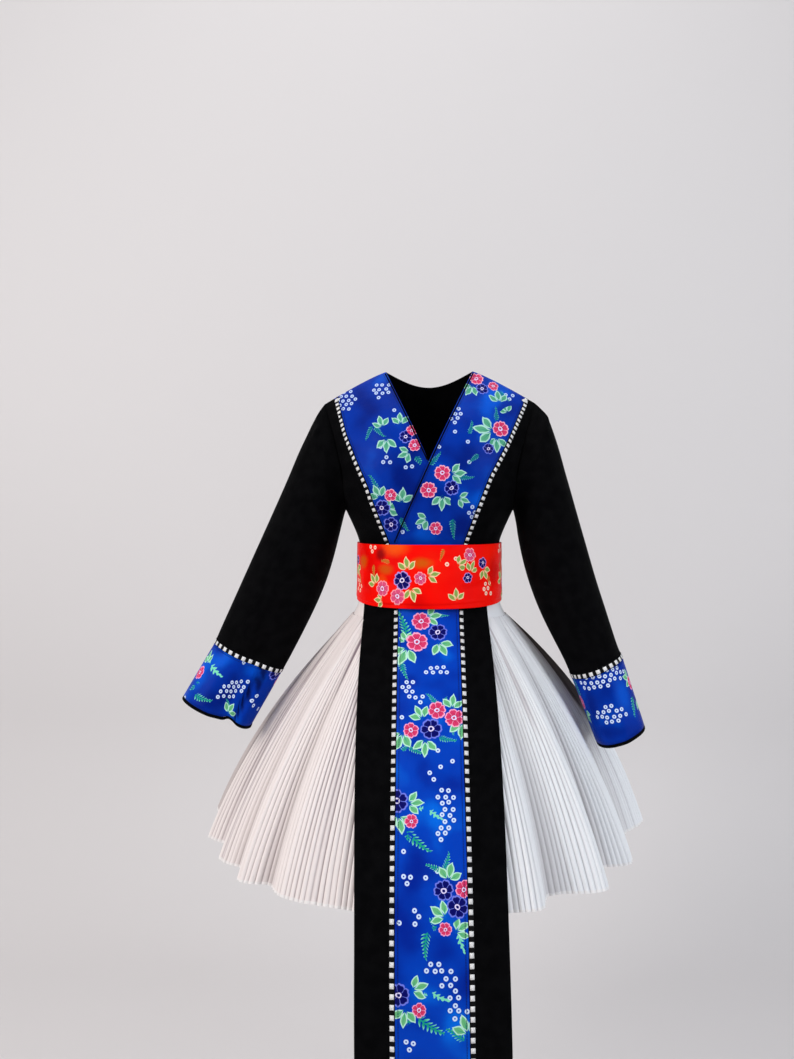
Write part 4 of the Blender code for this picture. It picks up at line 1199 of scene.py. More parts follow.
def front_rows(surface, line, low, high, columns, step):
    """A grid of points beside a line drawn on the front of the dress, between two distances to
    the left of the way it runs, with outward directions."""
    places, along = spaced(line, step)
    points = np.empty((len(places), columns, 3))
    outward = np.empty_like(points)
    for i, (place, heading) in enumerate(zip(places, along)):
        for j, offset in enumerate(np.linspace(low, high, columns)):
            x, z = place[0] - heading[1] * offset, place[1] + heading[0] * offset
            points[i, j], outward[i, j] = seen_from_front(surface, x, z)
    outward[outward[:, :, 1] > 0] *= -1
    return points, outward


NECK_EDGES = {
    "left": (LinePoint(-0.0010, -0.1230), LinePoint(-0.0360, -0.0470), LinePoint(-0.0700, 0.0265)),
    "right": (
        LinePoint(-0.0555, -0.2490), LinePoint(-0.0280, -0.1870), LinePoint(0.0000, -0.1250),
        LinePoint(0.0360, -0.0470), LinePoint(0.0700, 0.0265),
    ),
}
PIPING_INSET, PIPING_WIDTH, PIPING_FOOT, PIPING_RISE = 0.0010, 0.0022, -0.0002, 0.0010
STITCH_SPACING, STITCH_LENGTH, STITCH_WIDTH, STITCH_RISE = 0.0032, 0.0022, 0.0006, 0.0004
STITCH_LIFT = 0.0001
SEAM_STITCHES_IN, NECK_STITCHES_IN = 0.0030, 0.0024


def thread_material(name, colour):
    """Matt thread, a little uneven in its colour."""
    material, tree, shader = new_material(name, colour, 0.6)
    twist = noise(object_place(tree), 700.0)
    paler = tuple(min(1.0, part * 1.5 + 0.004) for part in colour)
    plug(shader.inputs["Base Color"], blend(twist, (*colour, 1), (*paler, 1)))
    shader.inputs["Specular IOR Level"].default_value = 0.1
    return material


def add_stitches(name, line, ups, thread, ring=False):
    """A row of running stitches along a line of points on the cloth."""
    row = sew_along(
        name, line, ups, thread, ring, Spacing=STITCH_SPACING, Length=STITCH_LENGTH,
        Width=STITCH_WIDTH, Height=STITCH_RISE, Lift=STITCH_LIFT,
    )
    piece = add_piece(name, row)
    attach(piece, "root")
    return piece


blue_thread = thread_material("blue thread", srgb(0, 16, 78)[:3])
red_thread = thread_material("red thread", srgb(150, 0, 6)[:3])
for band in BANDS:
    side = band.node.rsplit("_", 1)[1]
    inwards = 1 if side == "left" else -1
    seam_line = FRONT_RIBBONS[f"front_ribbon_{side}"]
    surface = surface_of(jacket_shells[f"jacket_front_{side}"], band_pieces[band.node])
    rows = front_rows(surface, seam_line, -RIBBON_HALF, RIBBON_HALF, RIBBON_COLUMNS, RIBBON_STEP)
    trims = add_ribbon(f"front_ribbon_{side}", FRONT_CHECK, *rows)
    surface = surface_of(*band_pieces.values())
    edges = sorted((inwards * PIPING_INSET, inwards * (PIPING_INSET + PIPING_WIDTH)))
    points, outward = front_rows(surface, NECK_EDGES[side], *edges, RIBBON_COLUMNS, RIBBON_STEP)
    piping_mesh = slab(f"neck_piping_{side}", points, outward, PIPING_FOOT, PIPING_RISE)
    piping_points = read_points(piping_mesh)
    set_uv(piping_mesh, piping_points[:, 0], piping_points[:, 2])
    piping_mesh.materials.append(cotton)
    piping = add_piece(f"neck_piping_{side}", piping_mesh)
    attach(piping, "root")
    trims.append(piping)
    for label, line, inset in (
        ("seam", seam_line, RIBBON_HALF + SEAM_STITCHES_IN),
        ("neck", NECK_EDGES[side], PIPING_INSET + PIPING_WIDTH + NECK_STITCHES_IN),
    ):
        points, outward = front_rows(surface, line, inwards * inset, inwards * inset, 1, RIBBON_STEP)
        trims.append(add_stitches(
            f"{label}_stitches_{side}", points[:, 0], outward[:, 0], blue_thread
        ))

RingPlace = namedtuple("RingPlace", "outer_x outer_z inner_x inner_z centre_y")
CUFF_SEAMS = {
    "left": RingPlace(-0.3440, -0.4073, -0.2355, -0.4568, -0.040),
    "right": RingPlace(0.3020, -0.4258, 0.2236, -0.4609, -0.045),
}
CUFF_STEPS = 120
CUFF_REACH = 0.12


def ring_rows(surface, seam, half, columns, steps, down):
    """A grid of points over a ring round a sleeve, with outward directions."""
    outer = np.array((seam.outer_x, seam.centre_y, seam.outer_z))
    inner = np.array((seam.inner_x, seam.centre_y, seam.inner_z))
    reach = (outer - inner) / 2
    across = reach / np.linalg.norm(reach)
    axis = np.cross(across, (0, 1, 0))
    axis *= -1 if axis[2] > 0 else 1
    points = np.empty((steps, columns, 3))
    outward = np.empty_like(points)
    for i in range(steps):
        turn = 2 * math.pi * i / steps
        heading = Vector(across * math.cos(turn) + np.array((0, -1, 0)) * math.sin(turn))
        for j, offset in enumerate(np.linspace(-half, half, columns)):
            middle = Vector((outer + inner) / 2 + axis * (offset + down))
            place, direction, _, _ = surface.ray_cast(middle + heading * CUFF_REACH, -heading)
            points[i, j], outward[i, j] = place, direction
    return points, outward


for cuff in CUFFS:
    surface = surface_of(sleeve_shells[f"sleeve_{cuff.side}"], cuff_pieces[f"cuff_{cuff.side}"])
    seam = CUFF_SEAMS[cuff.side]
    rows = ring_rows(surface, seam, RIBBON_HALF, RIBBON_COLUMNS, CUFF_STEPS, 0.0)
    trims = add_ribbon(f"cuff_ribbon_{cuff.side}", CUFF_CHECK, *rows, ring=True)
    trims.append(cuff_pieces[f"cuff_binding_{cuff.side}"])
    below = RIBBON_HALF + SEAM_STITCHES_IN
    points, outward = ring_rows(surface, seam, 0.0, 1, CUFF_STEPS, below)
    trims.append(add_stitches(
        f"cuff_stitches_{cuff.side}", points[:, 0], outward[:, 0], blue_thread, ring=True
    ))

# The skirt: one long strip of white cotton, finely pleated by hand and pressed, in four widths
# sewn side by side and gathered into a plain waistband. It falls in broad uneven folds, deeper
# towards the hem, and the pleats lie flat at the top and open on the way down.
RingSection = namedtuple("RingSection", "height half_width front back")
SKIRT_TOP = RingSection(-0.3683, 0.1250, 0.1010, 0.0900)
SKIRT_HEM = -0.725
SKIRT_BELL = 0.42
PUFF_ANGLE, PUFF_HALF, PUFF = math.radians(108), math.radians(30), 0.29
SKIRT_WIDTHS = ("front_right", "back_right", "back_left", "front_left")
PLEATS_PER_WIDTH = 68
COLUMNS_PER_PLEAT = 6
SKIRT_ROWS = 54
PLEAT_TOP, PLEAT_HEM = 0.0020, 0.0033
BUNDLE_TOP, BUNDLE_HEM = 0.0044, 0.0056
SKIRT_CLOTH = 0.0007
APRON_ROOM = 0.0055
APRON_SIDE, APRON_FADE = math.radians(47), math.radians(9)
# Painted light: the white is warmer on the left, where the warm key lamp falls, and cooler on the right,
# where the cool fill lamp falls.
WARM_LIT_WHITE = (0.92, 0.84, 0.82, 1)
COOL_LIT_WHITE = (0.91, 0.93, 0.96, 1)
VALLEY_SHADE = (0.34, 0.27, 0.30, 1)
HOLLOW_SHADE = (0.30, 0.235, 0.235, 1)
SIDE_SHADE = (0.06, 0.045, 0.038, 1)
THREAD_WHITE, HEM_WHITE = (0.93, 0.92, 0.92, 1), (0.93, 0.91, 0.90, 1)
HOLLOW_REACH, HOLLOW_DEPTH = 11, 0.014
ROW_CROWDING = 1.15
PLEAT_THREAD = 0.0004
Fold = namedtuple("Fold", "angle hem_radius")
SKIRT_FOLDS = (
    Fold(-180, 0.330), Fold(-169, 0.300), Fold(-157, 0.332), Fold(-146, 0.303), Fold(-134, 0.340),
    Fold(-121, 0.312), Fold(-105, 0.388), Fold(-93, 0.330), Fold(-84, 0.358), Fold(-75, 0.324),
    Fold(-67, 0.341), Fold(-59, 0.320), Fold(-52, 0.337), Fold(-45, 0.313), Fold(-38, 0.328),
    Fold(-20, 0.313), Fold(0, 0.312), Fold(19, 0.312), Fold(27, 0.320), Fold(34, 0.292),
    Fold(49, 0.325), Fold(58, 0.277), Fold(68, 0.323), Fold(84, 0.306), Fold(103, 0.372),
    Fold(121, 0.310), Fold(134, 0.338), Fold(146, 0.302), Fold(158, 0.333), Fold(170, 0.300),
    Fold(180, 0.330),
)


def way_between(value, start, end):
    """0 up to one value and 1 from another, straight between them."""
    return np.clip((value - start) / (end - start), 0, 1)


def hem_radius(degrees):
    """Distance of the hem from the centre line, in and out over the skirt's folds."""
    turn = (degrees + 180) % 360 - 180
    angles = np.array([fold.angle for fold in SKIRT_FOLDS])
    radii = np.array([fold.hem_radius for fold in SKIRT_FOLDS])
    low = np.clip(np.searchsorted(angles, turn, side="right") - 1, 0, len(angles) - 2)
    share = (turn - angles[low]) / (angles[low + 1] - angles[low])
    return radii[low] + (radii[low + 1] - radii[low]) * (1 - np.cos(np.pi * share)) / 2


def skirt_surface(angle, share):
    """Points on the unpleated skirt at angles from the front and shares of its height."""
    turn = (angle - PUFF_ANGLE + math.pi) % (2 * math.pi) - math.pi
    puff = PUFF * np.exp(-((turn / PUFF_HALF) ** 2)) * share * (1 - share) ** 1.5
    swing = share * (1 + SKIRT_BELL - SKIRT_BELL * share) + puff
    depth = np.where(np.cos(angle) >= 0, SKIRT_TOP.front, SKIRT_TOP.back)
    from_middle = np.abs((angle + math.pi) % (2 * math.pi) - math.pi)
    under_apron = way_between(from_middle, APRON_SIDE, APRON_SIDE - APRON_FADE)
    radius = hem_radius(np.degrees(angle)) - APRON_ROOM * under_apron
    x = SKIRT_TOP.half_width * np.sin(angle) * (1 - swing) + radius * np.sin(angle) * swing
    y = -depth * np.cos(angle) * (1 - swing) - radius * np.cos(angle) * swing
    z = SKIRT_TOP.height + (SKIRT_HEM - SKIRT_TOP.height) * share
    return np.stack(np.broadcast_arrays(x, y, z), axis=-1)


# Pleats pressed into a cloth: rounded ridges with narrow valleys between them. The cloth carries
# its count of pleats, its share of the drop, its outward direction and one pleat's step sideways
pleated, given, result = new_group(
    "pleated cloth",
    (
        ("Cloth", GEOMETRY, None),
        ("Depth at top", FLOAT, PLEAT_TOP), ("Depth at hem", FLOAT, PLEAT_HEM),
        ("Shallowest", FLOAT, 0.50), ("Deepest", FLOAT, 1.30), ("Sway", FLOAT, 0.75),
        ("Bundles at top", FLOAT, BUNDLE_TOP), ("Bundles at hem", FLOAT, BUNDLE_HEM),
        ("Seed", "NodeSocketInt", 7), ("Material", MATERIAL, None),
    ),
    (("Pleated", GEOMETRY),),
    "GeometryNodeTree",
)


def down_the_drop(share, top, hem):
    """A size that goes evenly from one at the top of the skirt to one at its hem."""
    feeds = {"Value": share, "To Min": top, "To Max": hem}
    return made_by(share.tree, "ShaderNodeMapRange", "Result", feeds)


pleat = named_value(pleated, "pleat")
drop = named_value(pleated, "drop")
outward = named_value(pleated, "outward", "FLOAT_VECTOR")
sideways = named_value(pleated, "sideways", "FLOAT_VECTOR")
own_depth = made_by(
    pleated, "FunctionNodeRandomValue", 1,
    {2: given["Shallowest"], 3: given["Deepest"], 8: given["Seed"], "ID": maths("FLOOR", pleat)},
    data_type="FLOAT",
)
rise = abs(maths("SINE", pleat * math.pi)) ** 0.8 * own_depth - 0.55
depth = down_the_drop(drop ** 0.7, given["Depth at top"], given["Depth at hem"])
uneven = noise(vector_of(pleat * 0.30, drop * 1.4, given["Seed"]), 1.0, 1.0)
sway = (uneven - 0.5) * given["Sway"]
bundle = noise(vector_of(pleat * 0.36, drop * 0.8, given["Seed"] + 20.0), 1.0, 0.0) - 0.5
bundle_height = down_the_drop(drop, given["Bundles at top"], given["Bundles at hem"])
shift = vector_maths(
    "ADD", vector_maths("SCALE", outward, scale=rise * depth + bundle * bundle_height),
    vector_maths("SCALE", sideways, scale=sway),
)
moved = made_by(
    pleated, "GeometryNodeSetPosition", "Geometry", {"Geometry": given["Cloth"], "Offset": shift}
)
# Marks for painted shade, stored as valley: high in the valleys between pleats, and between bundles near
# the top.
between_pleats = 0.45 - (rise + bundle * 0.9)
between_bundles = bundle * ramp(drop, 0.1, 0.6, -5.5, -0.5)
marked = made_by(
    pleated, "GeometryNodeStoreNamedAttribute", "Geometry",
    {
        "Geometry": moved, "Name": "valley",
        "Value": maths("MAXIMUM", between_pleats, between_bundles),
    },
    data_type="FLOAT", domain="POINT",
)
real = made_by(pleated, "GeometryNodeRealizeInstances", "Geometry", {"Geometry": marked})
dressed = made_by(
    pleated, "GeometryNodeSetMaterial", "Geometry",
    {"Geometry": real, "Material": given["Material"]},
)
plug(result["Pleated"], dressed)
pleat_inputs = input_keys(pleated)

pleat_white, tree, shader = new_material("pleated white cotton", (0.80, 0.77, 0.78), 0.70)
cloth = cloth_place(tree)
threads = use_group(tree, weave, Vector=cloth, Thread=PLEAT_THREAD, Float=1.0)
x, _, z = parts_of(object_place(tree))
valley, hollow = (
    made_by(tree, "ShaderNodeAttribute", "Fac", attribute_name=name) for name in ("valley", "hollow")
)
# Painted light: the cloth's colour runs from warm on the left to cool on the right, a little unevenly.
side_light_tint = x + maths("MULTIPLY_ADD", noise(cloth, 9.0), 0.30, -0.15)
colour = blend(ramp(side_light_tint, -0.16, 0.14), WARM_LIT_WHITE, COOL_LIT_WHITE)
colour = blend(threads["Height"] * 0.2, colour, THREAD_WHITE)
# Painted shade: darker in the valleys between pleats, in the hollows between broad folds, and darkest on
# the flanks at the sides.
line = ramp(valley, 0.35, 1.0) * ramp(z, -0.50, -0.70, 0.98, 0.46) * ramp(x, 0.0, 0.12, 1.0, 0.45)
colour = blend(line, colour, VALLEY_SHADE)
colour = blend(maths("MINIMUM", hollow * 0.36, 0.92), colour, HOLLOW_SHADE)
colour = blend(ramp(hollow, 0.9, 2.2, 0.0, 0.88), colour, SIDE_SHADE)
hem_edge = ramp(z, SKIRT_HEM + 0.0042, SKIRT_HEM + 0.0030)
plug(shader.inputs["Base Color"], blend(hem_edge * 0.7, colour, HEM_WHITE))
shader.inputs["Specular IOR Level"].default_value = 0.12
add_bump(shader, threads["Height"], 0.00012)


def hollow_shade(angle, share):
    """How far the cloth lies back between the broad folds, where less light comes. It is most at
    the hem, and under the two folds that stand out at the sides."""
    degrees = np.degrees(angle)
    nearby = degrees[..., None] + np.linspace(-HOLLOW_REACH, HOLLOW_REACH, 2 * HOLLOW_REACH + 1)
    behind = hem_radius(nearby).mean(axis=-1) - hem_radius(degrees)
    lie = np.clip(behind / HOLLOW_DEPTH, 0, 1) ** 1.3 * (0.2 + 0.8 * share)
    turn = (degrees + 180) % 360 - 180
    right_side = way_between(turn, 89, 94) * way_between(turn, 118, 108)
    right_side = right_side * way_between(share, 0.62, 0.37)
    left_side = way_between(turn, -87, -91) * way_between(turn, -109, -105)
    left_side = left_side * way_between(share, 0.30, 0.50)
    return np.maximum(lie, np.maximum(2.4 * right_side, 1.2 * left_side))


angles = np.linspace(0, 2 * math.pi, 5761)
hem_line = skirt_surface(angles, np.ones(1))
hem_lengths = np.concatenate([[0], np.cumsum(np.linalg.norm(np.diff(hem_line, axis=0), axis=1))])
pleats_in_all = PLEATS_PER_WIDTH * len(SKIRT_WIDTHS)
columns = PLEATS_PER_WIDTH * COLUMNS_PER_PLEAT
shares = np.linspace(0, 1, SKIRT_ROWS + 1) ** ROW_CROWDING
for number, width in enumerate(SKIRT_WIDTHS):
    counts = number * PLEATS_PER_WIDTH + np.linspace(0, PLEATS_PER_WIDTH, columns + 1)
    own = np.interp(counts / pleats_in_all * hem_lengths[-1], hem_lengths, angles)
    surface = skirt_surface(own[None, :], shares[:, None])
    mesh = grid_mesh(f"skirt_{width}_pleats", surface[:, ::-1])
    flat_counts = np.tile(counts[::-1], len(shares))
    flat_shares = np.repeat(shares, columns + 1)
    sideways = np.gradient(surface, axis=1) * COLUMNS_PER_PLEAT
    outward = np.cross(sideways, -np.gradient(surface, axis=0))
    outward /= np.maximum(np.linalg.norm(outward, axis=-1), 1e-12)[:, :, None]
    hollows = hollow_shade(np.tile(own[::-1], len(shares)), flat_shares)
    for label, values in (("pleat", flat_counts), ("drop", flat_shares), ("hollow", hollows)):
        carried = mesh.attributes.new(label, "FLOAT", "POINT")
        carried.data.foreach_set("value", values.astype(np.float32))
    for label, values in (("outward", outward), ("sideways", sideways)):
        direction = mesh.attributes.new(label, "FLOAT_VECTOR", "POINT")
        direction.data.foreach_set("vector", values[:, ::-1].astype(np.float32).ravel())
    set_uv(mesh, flat_counts * hem_lengths[-1] / pleats_in_all, read_points(mesh)[:, 2])
    holder = add_piece("pleating", mesh)
    pleating = holder.modifiers.new("pleats", "NODES")
    pleating.node_group = pleated
    pleating[pleat_inputs["Material"]] = pleat_white
    body = holder.modifiers.new("cloth", "SOLIDIFY")
    body.thickness = SKIRT_CLOTH
    body.offset = -1.0
    shell = plain_copy(f"skirt_{width}_pleats", holder)
    bpy.data.objects.remove(holder)
    for label in ("pleat", "drop", "outward", "sideways"):
        shell.attributes.remove(shell.attributes[label])
    shell.shade_smooth()
    shell.set_sharp_from_angle(angle=math.radians(75))
    piece = add_piece(f"skirt_{width}_pleats", shell)
    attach(piece, "root")
    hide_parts(f"skirt_{width}")

WAIST_ROUND = 0.11
band_shell = cloth_from("skirt_waistband", 2)
points = read_points(band_shell)
around = (np.arctan2(points[:, 0], -points[:, 1]) + math.pi) * WAIST_ROUND
set_uv(band_shell, around, points[:, 2], turn=2 * math.pi * WAIST_ROUND)
band_shell.materials.append(pleat_white)
waistband = add_piece("skirt_waistband_cloth", band_shell)
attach(waistband, "root")
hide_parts("skirt_waistband")

# The apron: a long black cotton panel that hangs from under the sash, with a strip of the
# flowered satin down its middle and a checked ribbon sewn over each of the strip's edges.
STRIP_TOP, STRIP_HEM = -0.2960, -0.8965
APRON_CREASES = (
    Crease(FRONT, -0.086, -0.4, -0.09, -0.85, 0.011, 0.001),
    Crease(FRONT, 0.08, -0.42, 0.092, -0.8, 0.01, 0.001),
    Crease(FRONT, -0.01, -0.47, 0.0, -0.86, 0.02, 0.0012),
)
panel_shell = cloth_from("apron_panel")
points = read_points(panel_shell)
forward = np.tile((0.0, -1.0, 0.0), (len(points), 1))
write_points(panel_shell, press(points, forward, APRON_CREASES))
panel_shell.materials.append(cotton)
apron = add_piece("apron_panel_cloth", panel_shell)
apron_surface = surface_of(apron)
profile_z = np.arange(STRIP_HEM, STRIP_TOP, 0.010)
profile_y = np.array([seen_from_front(apron_surface, 0.0, z)[0][1] for z in profile_z])
profile_y = np.convolve(np.pad(profile_y, 2, mode="edge"), np.ones(5) / 5, mode="valid")
profile_length = np.concatenate([[0], np.cumsum(np.hypot(np.diff(profile_z), np.diff(profile_y)))])


def down_apron(z):
    """Length along the apron from its hem, for a height."""
    return np.interp(z, profile_z, profile_length)


set_uv(panel_shell, points[:, 0], down_apron(points[:, 2]))
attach(apron, "root")
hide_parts("apron_panel")

STRIP_HALF = 0.0460
STRIP_MIDDLE_TOP, STRIP_MIDDLE_HEM = -0.0015, 0.0045
STRIP_RISE = 0.0005
STRIP_COLUMNS, STRIP_STEP = 25, 0.005
STRIP_PRINT_X, STRIP_PRINT_Z = 0.0015, -0.583
STRIP_STITCHES_IN = 0.0036


def strip_rows(low, high, columns, step):
    """A grid over the apron between two shares of the strip's half width, with directions."""
    heights = np.arange(STRIP_TOP, STRIP_HEM, -step)
    heights[-1] = STRIP_HEM
    points = np.empty((len(heights), columns, 3))
    outward = np.empty_like(points)
    for i, z in enumerate(heights):
        share = (STRIP_TOP - z) / (STRIP_TOP - STRIP_HEM)
        middle = STRIP_MIDDLE_TOP + (STRIP_MIDDLE_HEM - STRIP_MIDDLE_TOP) * share
        edges = [middle + side * STRIP_HALF + inset for side, inset in (low, high)]
        for j, x in enumerate(np.linspace(*edges, columns)):
            points[i, j], outward[i, j] = seen_from_front(apron_surface, x, z)
    outward[outward[:, :, 1] > 0] *= -1
    return points, outward


points, outward = strip_rows((-1, 0.0), (1, 0.0), STRIP_COLUMNS, STRIP_STEP)
strip_mesh = slab("apron_strip_cloth", points, outward, RIBBON_LIFT, RIBBON_LIFT + STRIP_RISE)
points = read_points(strip_mesh)
set_uv(strip_mesh, points[:, 0] - STRIP_PRINT_X, down_apron(points[:, 2]) - down_apron(STRIP_PRINT_Z))
blue_satin = printed_satin(
    "printed blue satin", BRIGHT_BLUE,
    Print(BLUE_REPEAT, BLUE_FLOWERS, BLUE_LEAVES, BLUE_FERNS, BLUE_RINGS),
)
strip_mesh.materials.append(blue_satin)
strip = add_piece("apron_strip_cloth", strip_mesh)
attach(strip, "root")
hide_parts("apron_strip")
GAP = 0.0004
strip_trims = []
for side, low, high in (
    ("left", (-1, -GAP - 2 * RIBBON_HALF), (-1, -GAP)),
    ("right", (1, GAP), (1, GAP + 2 * RIBBON_HALF)),
):
    rows = strip_rows(low, high, RIBBON_COLUMNS, RIBBON_STEP)
    strip_trims += add_ribbon(f"apron_ribbon_{side}", APRON_CHECK, *rows)
    inset = (low[0], -low[0] * STRIP_STITCHES_IN)
    points, outward = strip_rows(inset, inset, 1, RIBBON_STEP)
    line = points[:, 0] + outward[:, 0] * (RIBBON_LIFT + STRIP_RISE)
    strip_trims.append(add_stitches(
        f"strip_stitches_{side}", line, outward[:, 0], blue_thread
    ))

# The sash: a length of red flowered satin wound round the waist. Its outer turn stops a little
# above the lower edge of the turn under it. Its plain end, tucked in at the back, is not drawn.
SASH = (
    RingSection(-0.2500, 0.1170, 0.1030, 0.0840),
    RingSection(-0.2800, 0.1175, 0.1045, 0.0845),
    RingSection(-0.3120, 0.1175, 0.1055, 0.0845),
    RingSection(-0.3410, 0.1185, 0.1075, 0.0850),
)
SASH_TOP_DIP, SASH_HEM_DIP = 0.0035, 0.0100
SASH_STEPS, SASH_ROWS = 240, 44
SASH_THICKNESS = 0.0014
TURN_THICKNESS = 0.0011
TURN_EDGE = 0.0055
TURN_SLANT, SLANT_FROM = 0.010, math.radians(40)
TURN_BLUR = 0.008
SASH_ROUND, FOLD_ROUND, SASH_HIGH = 0.1123, 0.11, 0.091
STITCHES_IN = 0.035
SashFold = namedtuple("SashFold", "angle1 drop1 angle2 drop2 width depth")
SASH_FOLDS = (
    SashFold(-75, 0.18, -30, 0.30, 0.0060, 0.0012),
    SashFold(-60, 0.55, -5, 0.62, 0.0065, 0.0013),
    SashFold(-88, 0.72, -42, 0.80, 0.0055, 0.0011),
    SashFold(-20, 0.26, 30, 0.20, 0.0060, 0.0010),
    SashFold(20, 0.70, 72, 0.58, 0.0065, 0.0012),
    SashFold(45, 0.30, 95, 0.36, 0.0060, 0.0011),
    SashFold(100, 0.20, 150, 0.34, 0.0060, 0.0012),
    SashFold(110, 0.66, 165, 0.58, 0.0065, 0.0012),
    SashFold(-165, 0.30, -110, 0.40, 0.0060, 0.0012),
    SashFold(-150, 0.74, -100, 0.62, 0.0060, 0.0012),
)


def waist_ring(angle, drop):
    """Places round the waist on the sash's outer side, at angles and shares of its height."""
    marks = np.array([(SASH[0].height - s.height) / (SASH[0].height - SASH[-1].height) for s in SASH])
    half, front, back, height = (
        np.interp(drop, marks, [getattr(s, name) for s in SASH])
        for name in ("half_width", "front", "back", "height")
    )
    depth = np.where(np.cos(angle) >= 0, front, back)
    level = np.clip((np.cos(angle) + 0.3) / 1.3, 0, 1)
    dip = (SASH_TOP_DIP + (SASH_HEM_DIP - SASH_TOP_DIP) * drop) * level**2 * (3 - 2 * level)
    side, ahead = np.sin(angle), np.cos(angle)
    places = np.broadcast_arrays(half * side, -depth * ahead, height - dip)
    out = np.stack(np.broadcast_arrays(side / half, -ahead / depth, np.zeros_like(height)), axis=-1)
    return np.stack(places, axis=-1), out / np.linalg.norm(out, axis=-1, keepdims=True)


turn_line = 1 - TURN_EDGE / (SASH[0].height - SASH[-1].height)
drops = np.concatenate([
    np.linspace(0, turn_line - 0.006, SASH_ROWS), (turn_line - 0.002, turn_line, turn_line + 0.004),
    np.linspace(turn_line + 0.012, 1, 6),
])
sash_angles = np.linspace(0, 2 * math.pi, SASH_STEPS, endpoint=False)
angle, drop = np.meshgrid(sash_angles, drops)
places, out = waist_ring(angle, drop)
slant = TURN_SLANT * np.cos(angle - SLANT_FROM)
under_turn = np.clip((drop + slant - turn_line + TURN_BLUR / 2) / TURN_BLUR, 0, 1)
inset = TURN_THICKNESS * under_turn
turns = (angle + math.pi) % (2 * math.pi) - math.pi
on_cloth = np.stack([turns * FOLD_ROUND, drop * SASH_HIGH], axis=-1)
for fold in SASH_FOLDS:
    start = np.array((math.radians(fold.angle1) * FOLD_ROUND, fold.drop1 * SASH_HIGH))
    run = np.array((math.radians(fold.angle2) * FOLD_ROUND, fold.drop2 * SASH_HIGH)) - start
    flat = on_cloth - start
    share = np.clip(flat @ run / (run @ run), 0, 1)
    away = np.linalg.norm(flat - share[..., None] * run, axis=-1)
    inset = inset + fold.depth * np.exp(-((away / fold.width) ** 2)) * np.sin(math.pi * share)
places = places - out * inset[..., None]
sash_mesh = grid_mesh("sash_cloth", places[:, ::-1], ring=True)
from_front = (sash_angles[::-1] + math.pi) % (2 * math.pi) - math.pi
around = np.tile(from_front * SASH_ROUND, len(drops))
set_uv(sash_mesh, around, -np.repeat(drops, SASH_STEPS) * SASH_HIGH, turn=2 * math.pi * SASH_ROUND)
RED_REPEAT = (0.2352, 0.130, 1.0)
RED_FLOWERS = (
    Motif(-0.04, -0.051, 0.0146, 10, NAVY), Motif(-0.0126, -0.0475, 0.0096, 35, PINK),
    Motif(-0.0736, -0.064, 0.0122, 5, PINK), Motif(-0.047, -0.074, 0.0122, 25, PINK),
    Motif(0.0625, -0.015, 0.0106, 0, PINK), Motif(0.087, -0.027, 0.0086, 20, NAVY),
    Motif(0.0585, -0.047, 0.008, 10, NAVY),
)
RED_LEAVES = (
    Motif(-0.032, -0.037, 0.0199, 96), Motif(-0.003, -0.044, 0.0182, 12),
    Motif(-0.027, -0.061, 0.0199, -72), Motif(-0.087, -0.06, 0.0194, 128),
    Motif(-0.072, -0.08, 0.0171, 186), Motif(0.042, -0.03, 0.0171, 30), Motif(0.063, -0.039, 0.016, 66),
    Motif(0.088, -0.035, 0.0182, -62), Motif(0.0405, -0.08, 0.0182, 94),
)
RED_FERNS = (
    Motif(-0.06, -0.026, 0.02, 160), Motif(-0.092, -0.03, 0.022, -95), Motif(0.022, -0.006, 0.018, -120),
    Motif(0.1, -0.046, 0.018, -80),
)
RED_RINGS = (
    Patch(0.0365, -0.0205, 0.0045, 0.0045), Patch(0.0255, -0.03, 0.0045, 0.0045),
    Patch(0.098, -0.066, 0.012, 0.012), Patch(-0.095, -0.008, 0.01, 0.007),
)
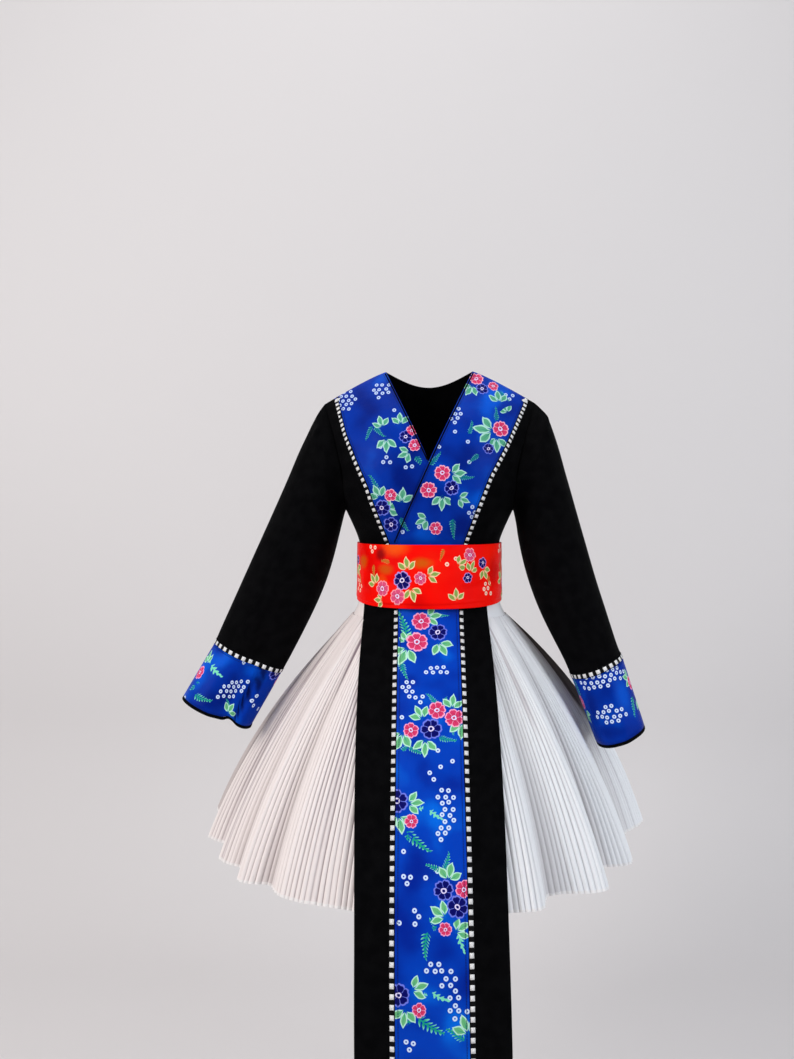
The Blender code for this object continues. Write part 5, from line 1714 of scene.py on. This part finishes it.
# Patches on the sash: the orange ones are painted sheen, the deep red ones painted shade, and the olive
# ones soft patches of that colour.
SHEEN_ORANGE, OLIVE, SHADE_RED = srgb(250, 92, 14), srgb(176, 112, 14), srgb(120, 4, 8)
RED_TONE_PATCHES = (
    Stain(-0.052, -0.002, 0.026, 0.016, 0.80, SHEEN_ORANGE), Stain(-0.010, -0.026, 0.020, 0.010, 0.58, OLIVE),
    Stain(-0.068, -0.036, 0.015, 0.009, 0.48, OLIVE), Stain(-0.074, -0.052, 0.010, 0.010, 0.55, SHEEN_ORANGE),
    Stain(-0.122, -0.028, 0.014, 0.012, 0.52, OLIVE), Stain(-0.078, -0.014, 0.012, 0.012, 0.80, SHADE_RED),
    Stain(0.112, -0.040, 0.020, 0.030, 0.35, SHADE_RED), Stain(0.180, -0.030, 0.040, 0.022, 0.60, SHEEN_ORANGE),
    Stain(-0.230, -0.050, 0.040, 0.024, 0.55, OLIVE), Stain(0.290, -0.045, 0.034, 0.020, 0.60, SHEEN_ORANGE),
)
RED = Palette(
    dark=srgb(226, 2, 0), plain=srgb(254, 10, 2), bright=srgb(255, 24, 6),
    pink=srgb(224, 78, 124), pink_deep=srgb(150, 26, 84), pink_line=srgb(255, 166, 176),
    navy=srgb(12, 10, 96), navy_line=srgb(180, 150, 225), heart=srgb(240, 225, 255),
    leaf=srgb(136, 172, 84), leaf_line=srgb(250, 216, 168), fern=srgb(176, 128, 44),
    fern_tip=srgb(224, 170, 90), ring=srgb(255, 214, 190),
)
red_satin = printed_satin(
    "printed red satin", RED,
    Print(RED_REPEAT, RED_FLOWERS, RED_LEAVES, RED_FERNS, RED_RINGS, RED_TONE_PATCHES),
)
sash_mesh.materials.append(red_satin)
holder = add_piece("winding", sash_mesh)
body = holder.modifiers.new("cloth", "SOLIDIFY")
body.thickness = SASH_THICKNESS
body.offset = -1.0
sash_shell = plain_copy("sash_cloth", holder)
bpy.data.objects.remove(holder)
sash = add_piece("sash_cloth", sash_shell)
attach(sash, "root")
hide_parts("sash")
for label, down in (("upper", STITCHES_IN), ("lower", turn_line - STITCHES_IN)):
    places, out = waist_ring(sash_angles, np.full(SASH_STEPS, down))
    add_stitches(
        f"sash_stitches_{label}", places, out, red_thread, ring=True
    )
